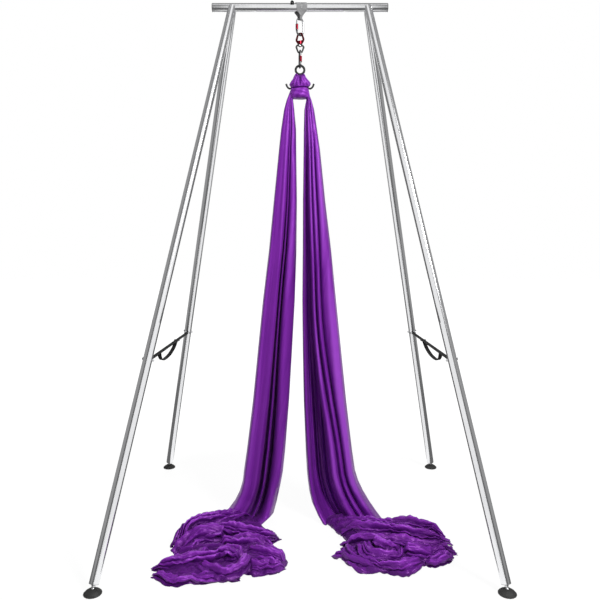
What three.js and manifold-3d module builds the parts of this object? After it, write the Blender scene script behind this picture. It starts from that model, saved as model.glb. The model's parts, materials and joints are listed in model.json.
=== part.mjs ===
// Aerial rig: a crossbar on four plug-together tube legs. A webbing sling, two screw-gate
// carabiners, a swivel and a figure eight hang from it and carry a long knotted silk.
// Millimetres, +Z up. The origin lies on the floor at the middle of the four feet,
// X runs along the crossbar and -Y points to the front.
import * as THREE from 'three';
import { mergeVertices } from 'three/addons/utils/BufferGeometryUtils.js';
import Module from 'manifold-3d';

const wasm = await Module();
wasm.setup();

// Driving dimensions
const barLength = 1004;
const barDiameter = 50;
const legDiameter = 46;
const tubeWall = 2;
const stubLength = 115;
const upperTubeLength = 972.4;
const middleTubeLength = 1007;
const lowerTubeLength = 935;
const footSpread = 1844;
const footDepth = 1578;
const legTopSpread = 778;
const legTopDepth = 20;
const slingDrop = 62;
const rodDiameter = 10;
const carabinerReach = 98;
const swivelReach = 88;
const clearance = 0.3;
const seatClearance = 0.4;
const linkClearance = 0.9;
const overrun = 1;

// Turns of the hanging hardware about the vertical
const upperCarabinerTurn = THREE.MathUtils.degToRad(36);
const upperEyeTurn = THREE.MathUtils.degToRad(-22);
const lowerEyeTurn = THREE.MathUtils.degToRad(10);
const lowerCarabinerTurn = THREE.MathUtils.degToRad(100);

// Corner counts of round pieces
const tubeSides = 16;
const smallSides = 12;
const rodSides = 8;
const stemSides = 10;

// Colours and finishes
const finish = (color, roughness, metalness) => () => (
  new THREE.MeshStandardMaterial({ color, roughness, metalness })
);
const polishedSteel = finish(0xb9b9b8, 0.22, 1);
const zincSteel = finish(0xa6a8a8, 0.35, 1);
const redAnodised = finish(0x8c1420, 0.35, 0.8);
const blackAnodised = finish(0x17181a, 0.45, 0.6);
const blackRubber = finish(0x161616, 0.85, 0);
const blackPlastic = finish(0x1b1b1c, 0.55, 0);
const blackWebbing = finish(0x1c1c1e, 0.9, 0);
const greyWebbing = finish(0x9a9c9c, 0.8, 0);
const purpleSilk = finish(0x6d1fa0, 0.5, 0);

// Distance under which two corners of a mesh are one
const weldDistance = 0.0001;

// Geometry with its corners merged and its folded faces gone
function welded(geometry) {
  const bare = geometry.clone();
  bare.deleteAttribute('normal');
  bare.deleteAttribute('uv');
  const merged = mergeVertices(bare, weldDistance);
  const corners = merged.getIndex().array;
  const kept = [];
  for (let i = 0; i < corners.length; i += 3) {
    const [a, b, c] = [corners[i], corners[i + 1], corners[i + 2]];
    if (a !== b && b !== c && c !== a) kept.push(a, b, c);
  }
  merged.setIndex(kept);
  return merged;
}

// Solids for cutting and joining, and the way back to geometry
function toSolid(shape) {
  if (!shape.isBufferGeometry) return shape;
  const closed = welded(shape);
  return new wasm.Manifold(new wasm.Mesh({
    numProp: 3,
    vertProperties: new Float32Array(closed.getAttribute('position').array),
    triVerts: new Uint32Array(closed.getIndex().array),
  }));
}

function toGeometry(solid) {
  const mesh = solid.getMesh();
  const geometry = new THREE.BufferGeometry();
  geometry.setAttribute('position', new THREE.BufferAttribute(mesh.vertProperties, 3));
  geometry.setIndex(new THREE.BufferAttribute(mesh.triVerts, 1));
  return geometry;
}

const joined = (...shapes) => shapes.map(toSolid).reduce((whole, piece) => whole.add(piece));
const cut = (shape, ...cutters) => (
  cutters.map(toSolid).reduce((whole, cutter) => whole.subtract(cutter), toSolid(shape))
);
const shared = (shape, other) => toSolid(shape).intersect(toSolid(other));
const placed = (geometry, object) => {
  object.updateMatrixWorld(true);
  return geometry.clone().applyMatrix4(object.matrixWorld);
};

// An outline of (radius, height) points turned about Z
function turned(profile, sides) {
  const points = profile.map(([radius, height]) => new THREE.Vector2(radius, height));
  return new THREE.LatheGeometry(points, sides).rotateX(Math.PI / 2);
}

// A plain cylinder that stands on Z from one height to another
const post = (radius, from, to, sides) => (
  turned([[0, from], [radius, from], [radius, to], [0, to]], sides)
);

// A box between two opposite corners
function block(low, high) {
  const [width, depth, height] = high.map((value, i) => value - low[i]);
  return new THREE.BoxGeometry(width, depth, height).translate(
    low[0] + width / 2,
    low[1] + depth / 2,
    low[2] + height / 2,
  );
}

// A round rod along a smooth path
function rodAlong(points, radius, steps, sides) {
  const section = new THREE.Shape().absarc(0, 0, radius, 0, Math.PI * 2);
  const path = new THREE.CatmullRomCurve3(points, false, 'centripetal');
  return new THREE.ExtrudeGeometry(section, { steps, extrudePath: path, curveSegments: sides / 2 });
}

// A closed skin over rings of corners, with flat ends or joined end to end
function loft(rings, endless) {
  const sides = rings[0].length;
  const position = rings.flat().flatMap((corner) => [corner.x, corner.y, corner.z]);
  const index = [];
  const bands = endless ? rings.length : rings.length - 1;
  for (let band = 0; band < bands; band += 1) {
    const next = (band + 1) % rings.length;
    for (let side = 0; side < sides; side += 1) {
      const after = (side + 1) % sides;
      const [a, b] = [band * sides + side, band * sides + after];
      const [c, d] = [next * sides + side, next * sides + after];
      index.push(a, b, d, a, d, c);
    }
  }
  if (!endless) {
    const last = (rings.length - 1) * sides;
    for (let side = 1; side < sides - 1; side += 1) {
      index.push(0, side + 1, side);
      index.push(last, last + side, last + side + 1);
    }
  }
  const geometry = new THREE.BufferGeometry();
  geometry.setAttribute('position', new THREE.Float32BufferAttribute(position, 3));
  geometry.setIndex(index);
  return geometry;
}

// A flat shape with rounded corners, given as corner points and corner radii
function roundedOutline(corners, Kind) {
  const outline = new Kind();
  corners.forEach(([x, y, radius], i) => {
    const corner = new THREE.Vector2(x, y);
    const before = new THREE.Vector2(...corners.at(i - 1));
    const after = new THREE.Vector2(...corners[(i + 1) % corners.length]);
    const start = before.sub(corner).setLength(radius).add(corner);
    const end = after.sub(corner).setLength(radius).add(corner);
    if (i === 0) outline.moveTo(start.x, start.y);
    else outline.lineTo(start.x, start.y);
    outline.quadraticCurveTo(corner.x, corner.y, end.x, end.y);
  });
  outline.closePath();
  return outline;
}

// An outline of (y, z) points made as wide as a webbing along X
function acrossX(outline, width) {
  const flat = new THREE.ExtrudeGeometry(outline, { depth: width, bevelEnabled: false });
  const upright = new THREE.Matrix4().makeBasis(
    new THREE.Vector3(0, 1, 0),
    new THREE.Vector3(0, 0, 1),
    new THREE.Vector3(1, 0, 0),
  );
  return flat.applyMatrix4(upright).translate(-width / 2, 0, 0);
}

// A flat strip of even thickness along a path of (y, z) points
function strip(path, thickness, width) {
  const points = path.map(([y, z]) => new THREE.Vector2(y, z));
  const offset = (side) => points.map((point, i) => {
    const before = points[Math.max(i - 1, 0)];
    const after = points[Math.min(i + 1, points.length - 1)];
    const along = after.clone().sub(before).normalize();
    return new THREE.Vector2(-along.y, along.x).multiplyScalar(side * thickness / 2).add(point);
  });
  return acrossX(new THREE.Shape([...offset(-1), ...offset(1).reverse()]), width);
}

const rig = new THREE.Group();

function addMesh(parent, name, shape, material) {
  const geometry = shape.isBufferGeometry ? welded(shape) : toGeometry(shape);
  const mesh = new THREE.Mesh(geometry, material());
  mesh.name = name;
  parent.add(mesh);
  return mesh;
}

// Foot: a ball stem that stands in a rubber pad, below a plug in the tube's end
const foot = {
  padRadius: 41,
  padRimHeight: 8,
  padEdge: 2,
  padShoulderRadius: 33,
  padShoulderHeight: 14,
  padTopRadius: 13,
  padTopHeight: 26,
  ballRadius: 9,
  ballHeight: 22,
  socketClearance: 0.6,
  stemRadius: 5,
  stemLength: 58,
  lockNutRadius: 9,
  lockNutFrom: 11,
  lockNutHeight: 6,
  plugFlange: 3,
  plugDomeRadius: 13,
  plugDomeHeight: 5,
  plugDepth: 24,
};
foot.plugFrom = foot.lockNutFrom + foot.lockNutHeight + clearance;
foot.tubeFrom = foot.plugFrom + foot.plugDomeHeight + foot.plugFlange;

// Legs: each runs up from its foot's ball to the crossbar's axis
const legRadius = legDiameter / 2;
const legHeights = {
  lower: foot.tubeFrom + clearance,
};
legHeights.middle = legHeights.lower + lowerTubeLength;
legHeights.upper = legHeights.middle + middleTubeLength;
legHeights.stub = legHeights.upper + upperTubeLength;
legHeights.top = legHeights.stub + stubLength;

const legRun = (footSpread - legTopSpread) / 2;
const legLean = (footDepth - legTopDepth) / 2;
const legRise = Math.sqrt(legHeights.top ** 2 - legRun ** 2 - legLean ** 2);
const barHeight = foot.ballHeight + legRise;

const ends = [['front', -1], ['rear', 1]];
const sides = [['left', -1], ['right', 1]];
const legs = sides.flatMap(([sideName, side]) => ends.map(([endName, end]) => {
  const up = new THREE.Vector3(-side * legRun, -end * legLean, legRise).normalize();
  const across = new THREE.Vector3(up.z, 0, -up.x).normalize();
  const frame = new THREE.Group();
  frame.position.set(side * footSpread / 2, end * footDepth / 2, foot.ballHeight);
  frame.quaternion.setFromRotationMatrix(
    new THREE.Matrix4().makeBasis(across, up.clone().cross(across), up),
  );
  rig.add(frame);
  return { name: `${endName}_${sideName}`, side, end, frame, across, up };
}));

const spigot = {
  clearance: 0.4,
  legLength: 95,
  stubLength: 55,
  swage: 4,
};
const boreRadius = legRadius - tubeWall;
const spigotRadius = boreRadius - spigot.clearance;

// A leg tube from its lower end at height 0, with a drawn-in spigot on top
function legTube(length, spigotLength) {
  const spigotBore = spigotRadius - tubeWall;
  return turned([
    [boreRadius, 0],
    [legRadius, 0],
    [legRadius, length],
    [spigotRadius, length],
    [spigotRadius, length + spigotLength],
    [spigotBore, length + spigotLength],
    [spigotBore, length],
    [boreRadius, length - spigot.swage],
    [boreRadius, 0],
  ], tubeSides);
}

// Bolt through the middle tube and the spigot inside it
const legBolt = {
  aboveJoint: 65,
  radius: 4,
  headRadius: 7,
  headHeight: 4.5,
  headCrown: 2,
  nutBore: 5.2,
  nutRadius: 7,
  nutHeight: 8,
  nutCrownRadius: 5,
  nutBaseHeight: 4,
  tail: 6,
};
legBolt.height = legHeights.middle + legBolt.aboveJoint;
const boltBore = () => post(legBolt.radius + clearance, -legDiameter, legDiameter, rodSides).rotateY(Math.PI / 2);

// Welded staple that holds the side strap, on the face towards the other leg
const staple = {
  wireRadius: 3,
  halfWidth: 15,
  stand: 13,
  steps: 10,
};
const stapleSides = 6;
function stapleWire(end) {
  const inner = -end * (Math.hypot(legRadius, staple.halfWidth) - staple.halfWidth);
  const outer = -end * (legRadius + staple.stand);
  const bend = -end * (legRadius + staple.stand - staple.wireRadius);
  return rodAlong([
    new THREE.Vector3(-staple.halfWidth, inner, 0),
    new THREE.Vector3(-staple.halfWidth, bend, 0),
    new THREE.Vector3(-staple.halfWidth + staple.wireRadius, outer, 0),
    new THREE.Vector3(staple.halfWidth - staple.wireRadius, outer, 0),
    new THREE.Vector3(staple.halfWidth, bend, 0),
    new THREE.Vector3(staple.halfWidth, inner, 0),
  ], staple.wireRadius, staple.steps, stapleSides);
}

legs.forEach(({ name, side, end, frame }) => {
  const upper = legTube(upperTubeLength - clearance, spigot.stubLength);
  const middle = cut(
    joined(
      legTube(middleTubeLength - clearance, spigot.legLength),
      stapleWire(end).translate(0, 0, legBolt.aboveJoint),
    ),
    post(boreRadius, -overrun, legBolt.aboveJoint + legDiameter, tubeSides),
    boltBore().translate(0, 0, legBolt.aboveJoint),
  );
  const lower = cut(
    legTube(lowerTubeLength - clearance, spigot.legLength),
    boltBore().translate(0, 0, lowerTubeLength + legBolt.aboveJoint),
  );
  addMesh(frame, `upper_leg_${name}`, upper, polishedSteel).position.z = legHeights.upper;
  addMesh(frame, `middle_leg_${name}`, middle, polishedSteel).position.z = legHeights.middle;
  addMesh(frame, `lower_leg_${name}`, lower, polishedSteel).position.z = legHeights.lower;

  // The bolt's head is on the outside of the leg and its cap nut on the inside
  const bolt = turned([
    [0, -legRadius - legBolt.tail],
    [legBolt.radius, -legRadius - legBolt.tail],
    [legBolt.radius, legRadius + clearance],
    [legBolt.headRadius, legRadius + clearance],
    [legBolt.headRadius, legRadius + legBolt.headCrown],
    [legBolt.radius, legRadius + legBolt.headHeight],
    [0, legRadius + legBolt.headHeight],
  ], rodSides);
  const nut = turned([
    [legBolt.nutBore, clearance],
    [legBolt.nutRadius, clearance],
    [legBolt.nutRadius, legBolt.nutBaseHeight],
    [legBolt.nutCrownRadius, legBolt.nutHeight],
    [0, legBolt.nutHeight + clearance],
    [0, legBolt.tail + clearance],
    [legBolt.nutBore, legBolt.tail + clearance],
    [legBolt.nutBore, clearance],
  ], smallSides / 2);
  const boltFrame = new THREE.Group();
  boltFrame.position.z = legBolt.height;
  boltFrame.rotation.y = side * Math.PI / 2;
  frame.add(boltFrame);
  addMesh(boltFrame, `leg_bolt_${name}`, bolt, zincSteel);
  const nutMesh = addMesh(boltFrame, `leg_nut_${name}`, nut, zincSteel);
  nutMesh.position.z = -legRadius;
  nutMesh.rotation.x = Math.PI;
});

// Feet
const lensArc = (radius, centre, from, to, steps) => (
  Array.from({ length: steps + 1 }, (_, i) => {
    const angle = from + (to - from) * i / steps;
    return [radius * Math.cos(angle), centre + radius * Math.sin(angle)];
  })
);
const ballNeckAngle = Math.acos(foot.stemRadius / foot.ballRadius);
const ballSteps = 5;
const socketRadius = foot.ballRadius + foot.socketClearance;
const socketAngle = Math.asin((foot.padTopHeight - foot.ballHeight) / socketRadius);
const socketSteps = 4;
legs.forEach(({ name, frame, end, side }) => {
  const ball = lensArc(foot.ballRadius, 0, -Math.PI / 2, ballNeckAngle, ballSteps);
  ball[0] = [0, -foot.ballRadius];
  const stem = turned([
    ...ball,
    [foot.stemRadius, foot.lockNutFrom],
    [foot.lockNutRadius, foot.lockNutFrom],
    [foot.lockNutRadius, foot.lockNutFrom + foot.lockNutHeight],
    [foot.stemRadius, foot.lockNutFrom + foot.lockNutHeight],
    [foot.stemRadius, foot.stemLength],
    [0, foot.stemLength],
  ], stemSides);
  addMesh(frame, `foot_stem_${name}`, stem, zincSteel);

  const stemBore = foot.stemRadius + clearance;
  const flangeBottom = foot.plugFrom + foot.plugDomeHeight;
  const plug = turned([
    [stemBore, foot.plugFrom],
    [foot.plugDomeRadius / 2, foot.plugFrom],
    [foot.plugDomeRadius, flangeBottom],
    [legRadius, flangeBottom],
    [legRadius, foot.tubeFrom],
    [boreRadius - clearance, foot.tubeFrom],
    [boreRadius - clearance, foot.tubeFrom + foot.plugDepth],
    [stemBore, foot.tubeFrom + foot.plugDepth],
    [stemBore, foot.plugFrom],
  ], tubeSides);
  addMesh(frame, `foot_plug_${name}`, plug, zincSteel);

  const socket = lensArc(socketRadius, foot.ballHeight, socketAngle, -Math.PI / 2, socketSteps);
  socket[0] = [socket[0][0], foot.padTopHeight];
  socket[socketSteps] = [0, foot.ballHeight - socketRadius];
  const pad = turned([
    [0, 0],
    [foot.padRadius - foot.padEdge, 0],
    [foot.padRadius, foot.padEdge],
    [foot.padRadius, foot.padRimHeight - foot.padEdge],
    [foot.padRadius - foot.padEdge, foot.padRimHeight],
    [foot.padShoulderRadius, foot.padShoulderHeight],
    [foot.padTopRadius, foot.padTopHeight],
    ...socket,
  ], tubeSides);
  const mesh = addMesh(rig, `foot_pad_${name}`, pad, blackRubber);
  mesh.position.set(side * footSpread / 2, end * footDepth / 2, 0);
});

// Crossbar: a tube with four leg sockets welded under it
const barRadius = barDiameter / 2;
const barWall = 2.5;
const barSides = 24;
const socketFloor = 8;
const alongX = (geometry) => geometry.rotateY(Math.PI / 2).translate(0, 0, barHeight);
const socketOf = ({ frame }, radius, from, to) => (
  placed(post(radius, from, to, tubeSides), frame)
);
const crossbar = cut(
  joined(
    alongX(post(barRadius, -barLength / 2, barLength / 2, barSides)),
    ...legs.map((leg) => socketOf(leg, legRadius, legHeights.stub, legHeights.top)),
  ),
  alongX(post(barRadius - barWall, -barLength, barLength, barSides)),
  ...legs.map((leg) => socketOf(
    leg,
    boreRadius,
    legHeights.stub - overrun,
    legHeights.stub + spigot.stubLength + socketFloor,
  )),
);
addMesh(rig, 'crossbar', crossbar, polishedSteel);

const endCap = {
  thickness: 3,
  depth: 18,
  edge: 1.2,
};
sides.forEach(([name, side]) => {
  const cap = turned([
    [0, endCap.thickness],
    [0, -endCap.depth],
    [barRadius - barWall - clearance, -endCap.depth],
    [barRadius - barWall - clearance, clearance],
    [barRadius, clearance],
    [barRadius, endCap.thickness - endCap.edge],
    [barRadius - endCap.edge, endCap.thickness],
    [0, endCap.thickness],
  ], barSides);
  const mesh = addMesh(rig, `end_cap_${name}`, cap, blackPlastic);
  mesh.position.set(side * barLength / 2, 0, barHeight);
  mesh.rotation.y = side * Math.PI / 2;
});

// Sling: two turns of one webbing, flat round the crossbar and gathered on the carabiner's rod
const sling = {
  halfWidth: 15,
  halfThickness: 1.5,
  turnOffset: 16,
  shift: 3,
  slant: 8,
  gatherHalfWidth: 5.5,
  gatherHalfThickness: 2.6,
  gatherOffset: 2.5,
  gatherClearance: 0.7,
  gatherSag: 1.6,
};
const slingSteps = { bar: 14, bight: 6, strand: 4 };
const rodRadius = rodDiameter / 2;
const slingBarRadius = barRadius + seatClearance + sling.halfThickness;
const slingRodRadius = rodRadius + sling.gatherClearance + sling.gatherHalfThickness;
const slingTaper = Math.asin((slingBarRadius - slingRodRadius) / slingDrop);

// Corner places of a webbing's section, as shares of its half width and half thickness
const webbingSectionShares = [[1, 0.4], [0.7, 1], [-0.7, 1], [-1, 0.4], [-1, -0.4], [-0.7, -1], [0.7, -1], [1, -0.4]];

function slingPoint(across, height) {
  return { across, height };
}

function slingRoute() {
  const arc = (radius, centre, from, to, steps, skip) => (
    Array.from({ length: steps + 1 }, (_, i) => from + (to - from) * i / steps)
      .slice(skip)
      .map((angle) => ({
        ...slingPoint(radius * Math.cos(angle), centre + radius * Math.sin(angle)),
        out: [Math.cos(angle), Math.sin(angle)],
      }))
  );
  const overBar = arc(slingBarRadius, 0, -slingTaper, Math.PI + slingTaper, slingSteps.bar, 0);
  const underRod = arc(
    slingRodRadius,
    -slingDrop,
    Math.PI + slingTaper,
    Math.PI * 2 - slingTaper,
    slingSteps.bight,
    0,
  );
  const strand = (from, to) => Array.from({ length: slingSteps.strand - 1 }, (_, i) => {
    const share = (i + 1) / slingSteps.strand;
    return {
      ...slingPoint(
        THREE.MathUtils.lerp(from.across, to.across, share),
        THREE.MathUtils.lerp(from.height, to.height, share),
      ),
      out: from.out,
    };
  });
  return [
    ...overBar,
    ...strand(overBar.at(-1), underRod[0]),
    ...underRod,
    ...strand(underRod.at(-1), overBar[0]),
  ];
}

// One turn of the webbing: it narrows, thickens and twists on its way down to the rod
function slingTurn(turn) {
  const rings = slingRoute().map(({ across, height, out }) => {
    const down = THREE.MathUtils.smootherstep(-height, slingBarRadius * Math.sin(slingTaper), slingDrop);
    const twist = upperCarabinerTurn * down;
    const halfWidth = THREE.MathUtils.lerp(sling.halfWidth, sling.gatherHalfWidth, down);
    const halfThickness = THREE.MathUtils.lerp(sling.halfThickness, sling.gatherHalfThickness, down);
    const offset = THREE.MathUtils.lerp(sling.turnOffset, sling.gatherOffset, down) * turn;
    const shift = (sling.shift - sling.slant * across / slingBarRadius) * (1 - down);
    const wide = new THREE.Vector3(Math.cos(twist), Math.sin(twist), 0);
    const deep = new THREE.Vector3(-Math.sin(twist), Math.cos(twist), 0);
    const outward = deep.clone().multiplyScalar(out[0]).setZ(out[1]);
    const centre = wide.clone().multiplyScalar(offset + shift)
      .addScaledVector(deep, across)
      .setZ(barHeight + height);
    return webbingSectionShares.map(([wideShare, thickShare]) => {
      const edgeShare = (offset + wideShare * halfWidth) / (sling.gatherOffset + sling.gatherHalfWidth);
      const corner = centre.clone()
        .addScaledVector(wide, wideShare * halfWidth)
        .addScaledVector(outward, thickShare * halfThickness);
      corner.z -= sling.gatherSag * down * Math.min(edgeShare ** 2, 1);
      return corner;
    });
  });
  return loft(rings, true);
}
addMesh(rig, 'sling', joined(slingTurn(-1), slingTurn(1)), greyWebbing);

// Dark keeper that is sewn to the sling where it crosses the top of the crossbar
const keeper = {
  radius: 9,
  length: 20,
  edge: 3,
  lean: THREE.MathUtils.degToRad(-32),
};
const keeperStand = barRadius + seatClearance + keeper.radius;
const keeperPlace = sling.shift - sling.turnOffset - sling.halfWidth - keeper.radius - sling.slant;
const keeperShape = turned([
  [0, -keeper.length / 2],
  [keeper.radius - keeper.edge, -keeper.length / 2],
  [keeper.radius, keeper.edge - keeper.length / 2],
  [keeper.radius, keeper.length / 2 - keeper.edge],
  [keeper.radius - keeper.edge, keeper.length / 2],
  [0, keeper.length / 2],
], smallSides).rotateX(Math.PI / 2);
const keeperMesh = addMesh(rig, 'sling_keeper', keeperShape, blackWebbing);
keeperMesh.position.set(
  keeperPlace,
  keeperStand * Math.sin(keeper.lean),
  barHeight + keeperStand * Math.cos(keeper.lean),
);
keeperMesh.rotation.x = -keeper.lean;

// Screw-gate carabiner, upright about its middle, with its gate on the left
const carabiner = {
  halfWidth: 22,
  gateRadius: 4.6,
  noseRadius: 4.3,
  noseBottom: 24.4,
  noseTop: 33,
  noseGap: 0.6,
  pinRadius: 1.5,
  pinHeight: -26.5,
  tongueThickness: 4,
  tongueRadius: 3.8,
  tongueDepth: 8,
  slotTop: 4.6,
  sleeveRadius: 7.6,
  sleeveBottom: -21,
  sleeveLength: 33,
  sleeveEdge: 1,
};
const halfReach = carabinerReach / 2;
const rodSteps = 28;

// The rod's path from the nose over the top and round to the hinge, as shares of the half sizes
const carabinerPathShares = [
  [-0.95, 0.64],
  [-0.84, 0.76],
  [-0.5, 0.95],
  [0, 1],
  [0.5, 0.95],
  [0.88, 0.7],
  [1, 0.42],
  [1, 0],
  [1, -0.42],
  [0.88, -0.7],
  [0.5, -0.95],
  [0, -1],
  [-0.5, -0.95],
  [-0.88, -0.79],
  [-1, -0.67],
];

function addCarabiner(prefix, height, turn) {
  const frame = new THREE.Group();
  frame.position.z = height;
  frame.rotation.z = turn;
  rig.add(frame);
  const gateSide = -carabiner.halfWidth;
  const acrossGate = (radius, length) => (
    post(radius, -length / 2, length / 2, smallSides).rotateX(Math.PI / 2)
      .translate(gateSide, 0, carabiner.pinHeight)
  );
  const path = carabinerPathShares.map(([x, z]) => (
    new THREE.Vector3(x * carabiner.halfWidth, 0, z * halfReach)
  ));
  const pinBore = acrossGate(carabiner.pinRadius + clearance, rodDiameter * 2);
  const halfTongue = carabiner.tongueThickness / 2;
  const body = cut(
    joined(
      rodAlong(path, rodRadius, rodSteps, rodSides),
      post(carabiner.noseRadius, carabiner.noseBottom, carabiner.noseTop, smallSides).translate(gateSide, 0, 0),
      block(
        [gateSide - carabiner.tongueRadius, -halfTongue, carabiner.pinHeight - carabiner.tongueDepth],
        [gateSide + carabiner.tongueRadius, halfTongue, carabiner.pinHeight],
      ),
      acrossGate(carabiner.tongueRadius, carabiner.tongueThickness),
    ),
    pinBore,
  );
  const halfSlot = halfTongue + clearance;
  const gate = cut(
    joined(
      post(carabiner.gateRadius, carabiner.pinHeight, carabiner.noseBottom - carabiner.noseGap, smallSides)
        .translate(gateSide, 0, 0),
      acrossGate(carabiner.gateRadius, carabiner.gateRadius * 2),
    ),
    block(
      [gateSide - rodDiameter, -halfSlot, carabiner.pinHeight - rodDiameter],
      [gateSide + rodDiameter, halfSlot, carabiner.pinHeight + carabiner.slotTop],
    ),
    pinBore,
  );
  const sleeveBore = carabiner.gateRadius + clearance;
  const sleeveTop = carabiner.sleeveBottom + carabiner.sleeveLength;
  const sleeve = turned([
    [sleeveBore, carabiner.sleeveBottom],
    [carabiner.sleeveRadius - carabiner.sleeveEdge, carabiner.sleeveBottom],
    [carabiner.sleeveRadius, carabiner.sleeveBottom + carabiner.sleeveEdge],
    [carabiner.sleeveRadius, sleeveTop - carabiner.sleeveEdge],
    [carabiner.sleeveRadius - carabiner.sleeveEdge, sleeveTop],
    [sleeveBore, sleeveTop],
    [sleeveBore, carabiner.sleeveBottom],
  ], smallSides).translate(gateSide, 0, 0);
  addMesh(frame, `${prefix}_carabiner`, body, zincSteel);
  addMesh(frame, `${prefix}_gate`, gate, zincSteel);
  addMesh(frame, `${prefix}_sleeve`, sleeve, redAnodised);
  addMesh(frame, `${prefix}_gate_pin`, acrossGate(carabiner.pinRadius, carabiner.gateRadius * 2), zincSteel);
}

const upperRodHeight = barHeight - slingDrop;
const swivelTopRod = upperRodHeight - carabinerReach;
const lowerRodHeight = swivelTopRod - swivelReach;
const figureRodHeight = lowerRodHeight - carabinerReach;
addCarabiner('upper', upperRodHeight - halfReach, upperCarabinerTurn);
addCarabiner('lower', lowerRodHeight - halfReach, lowerCarabinerTurn);

// Swivel: two three-cornered eyes on one axle, with its hub in the upper eye
const swivel = {
  split: 51,
  thickness: 11,
  bevel: 2.5,
  neckHalfWidth: 13,
  shoulderHalfWidth: 29,
  upperShoulder: 24,
  lowerShoulder: 13,
  tipHalfWidth: 13,
  tip: 9,
  shoulderRadius: 11,
  tipRadius: 8,
  neckRadius: 4,
  holeHalfWidth: 17.5,
  holeTipHalfWidth: 8.5,
  holeRadius: 5,
  upperHoleFloor: 21.5,
  lowerHoleTop: 12,
  hubRadius: 11.5,
  hubHeight: 18,
  hubBore: 8.7,
  hubFloor: 5.5,
  bearingHeight: 3,
  axleRadius: 5.5,
  axleHeadRadius: 8.2,
  axleHeadHeight: 8,
  rivetRadius: 8,
  rivetHeight: 4,
};
const swivelCurve = 3;
const halfGap = clearance;

function eyePlate(outer, hole) {
  const shape = roundedOutline(outer, THREE.Shape);
  shape.holes.push(roundedOutline(hole, THREE.Path));
  return new THREE.ExtrudeGeometry(shape, {
    depth: swivel.thickness - swivel.bevel * 2,
    bevelThickness: swivel.bevel,
    bevelSize: swivel.bevel,
    bevelOffset: -swivel.bevel,
    bevelSegments: 2,
    curveSegments: swivelCurve,
  }).translate(0, 0, swivel.bevel - swivel.thickness / 2).rotateX(Math.PI / 2);
}

const swivelFrame = (turn) => {
  const frame = new THREE.Group();
  frame.position.z = swivelTopRod - swivel.split;
  frame.rotation.z = turn;
  rig.add(frame);
  return frame;
};
const holeTip = rodRadius + linkClearance;
const upperTip = swivel.split + holeTip;
const lowerTip = swivelReach - swivel.split + holeTip;
const eyeOutline = (start, shoulder, tip, sign) => [
  [-swivel.neckHalfWidth, start * sign, swivel.neckRadius],
  [swivel.neckHalfWidth, start * sign, swivel.neckRadius],
  [swivel.shoulderHalfWidth, shoulder * sign, swivel.shoulderRadius],
  [swivel.tipHalfWidth, tip * sign, swivel.tipRadius],
  [-swivel.tipHalfWidth, tip * sign, swivel.tipRadius],
  [-swivel.shoulderHalfWidth, shoulder * sign, swivel.shoulderRadius],
];
const holeOutline = (start, tip, sign) => [
  [-swivel.holeHalfWidth, start * sign, swivel.holeRadius],
  [swivel.holeHalfWidth, start * sign, swivel.holeRadius],
  [swivel.holeTipHalfWidth, tip * sign, swivel.holeRadius],
  [-swivel.holeTipHalfWidth, tip * sign, swivel.holeRadius],
];
const upwards = (outline, sign) => (sign > 0 ? outline : [...outline].reverse());

const upperEye = cut(
  joined(
    eyePlate(
      eyeOutline(halfGap, swivel.upperShoulder, upperTip + swivel.tip, 1),
      holeOutline(swivel.upperHoleFloor, upperTip, 1),
    ),
    post(swivel.hubRadius, halfGap, swivel.hubHeight, tubeSides),
  ),
  post(swivel.axleRadius + clearance, -overrun, swivel.hubHeight, smallSides),
  post(swivel.hubBore, swivel.hubFloor, swivel.upperHoleFloor + overrun, smallSides),
);
addMesh(swivelFrame(upperEyeTurn), 'swivel_upper_eye', upperEye, redAnodised);

const lowerEye = cut(
  eyePlate(
    upwards(eyeOutline(halfGap, swivel.lowerShoulder, lowerTip + swivel.tip, -1), -1),
    upwards(holeOutline(swivel.lowerHoleTop, lowerTip, -1), -1),
  ),
  post(swivel.axleRadius + clearance, -swivel.lowerHoleTop - overrun, overrun, smallSides),
);
const lowerEyeFrame = swivelFrame(lowerEyeTurn);
addMesh(lowerEyeFrame, 'swivel_lower_eye', lowerEye, blackAnodised);

const headBottom = swivel.hubFloor + swivel.bearingHeight + clearance * 2;
const rivetTop = -swivel.lowerHoleTop - clearance;
const axle = turned([
  [0, rivetTop - swivel.rivetHeight],
  [swivel.rivetRadius / 2, rivetTop - swivel.rivetHeight],
  [swivel.rivetRadius, rivetTop],
  [swivel.axleRadius, rivetTop],
  [swivel.axleRadius, headBottom],
  [swivel.axleHeadRadius, headBottom],
  [swivel.axleHeadRadius, headBottom + swivel.axleHeadHeight / 2],
  [swivel.axleHeadRadius / 2, headBottom + swivel.axleHeadHeight],
  [0, headBottom + swivel.axleHeadHeight],
], smallSides);
addMesh(lowerEyeFrame, 'swivel_axle', axle, zincSteel);

const bearingBottom = swivel.hubFloor + clearance;
const bearing = turned([
  [swivel.axleRadius + clearance, bearingBottom],
  [swivel.axleHeadRadius, bearingBottom],
  [swivel.axleHeadRadius, bearingBottom + swivel.bearingHeight - clearance],
  [swivel.axleRadius + clearance, bearingBottom + swivel.bearingHeight - clearance],
  [swivel.axleRadius + clearance, bearingBottom],
], smallSides);
addMesh(swivelFrame(lowerEyeTurn), 'swivel_bearing', bearing, zincSteel);

// Figure eight: a small ring, a neck and a large ring with two ears that curve up
const figure = {
  smallOuter: 31.5,
  smallInner: 19,
  largeOuter: 50,
  largeInner: 38,
  thickness: 11,
  edge: 3,
  ringDistance: 80,
  neckHalfWidth: 10,
  earRadius: 5.5,
};
const figureRingSides = 16;
const earSteps = 6;

// The right ear's path from the large ring's middle, as shares of the ring's outer radius
const earPathShares = [[0.86, -0.42], [1.1, -0.56], [1.4, -0.42], [1.6, 0]];

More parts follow.
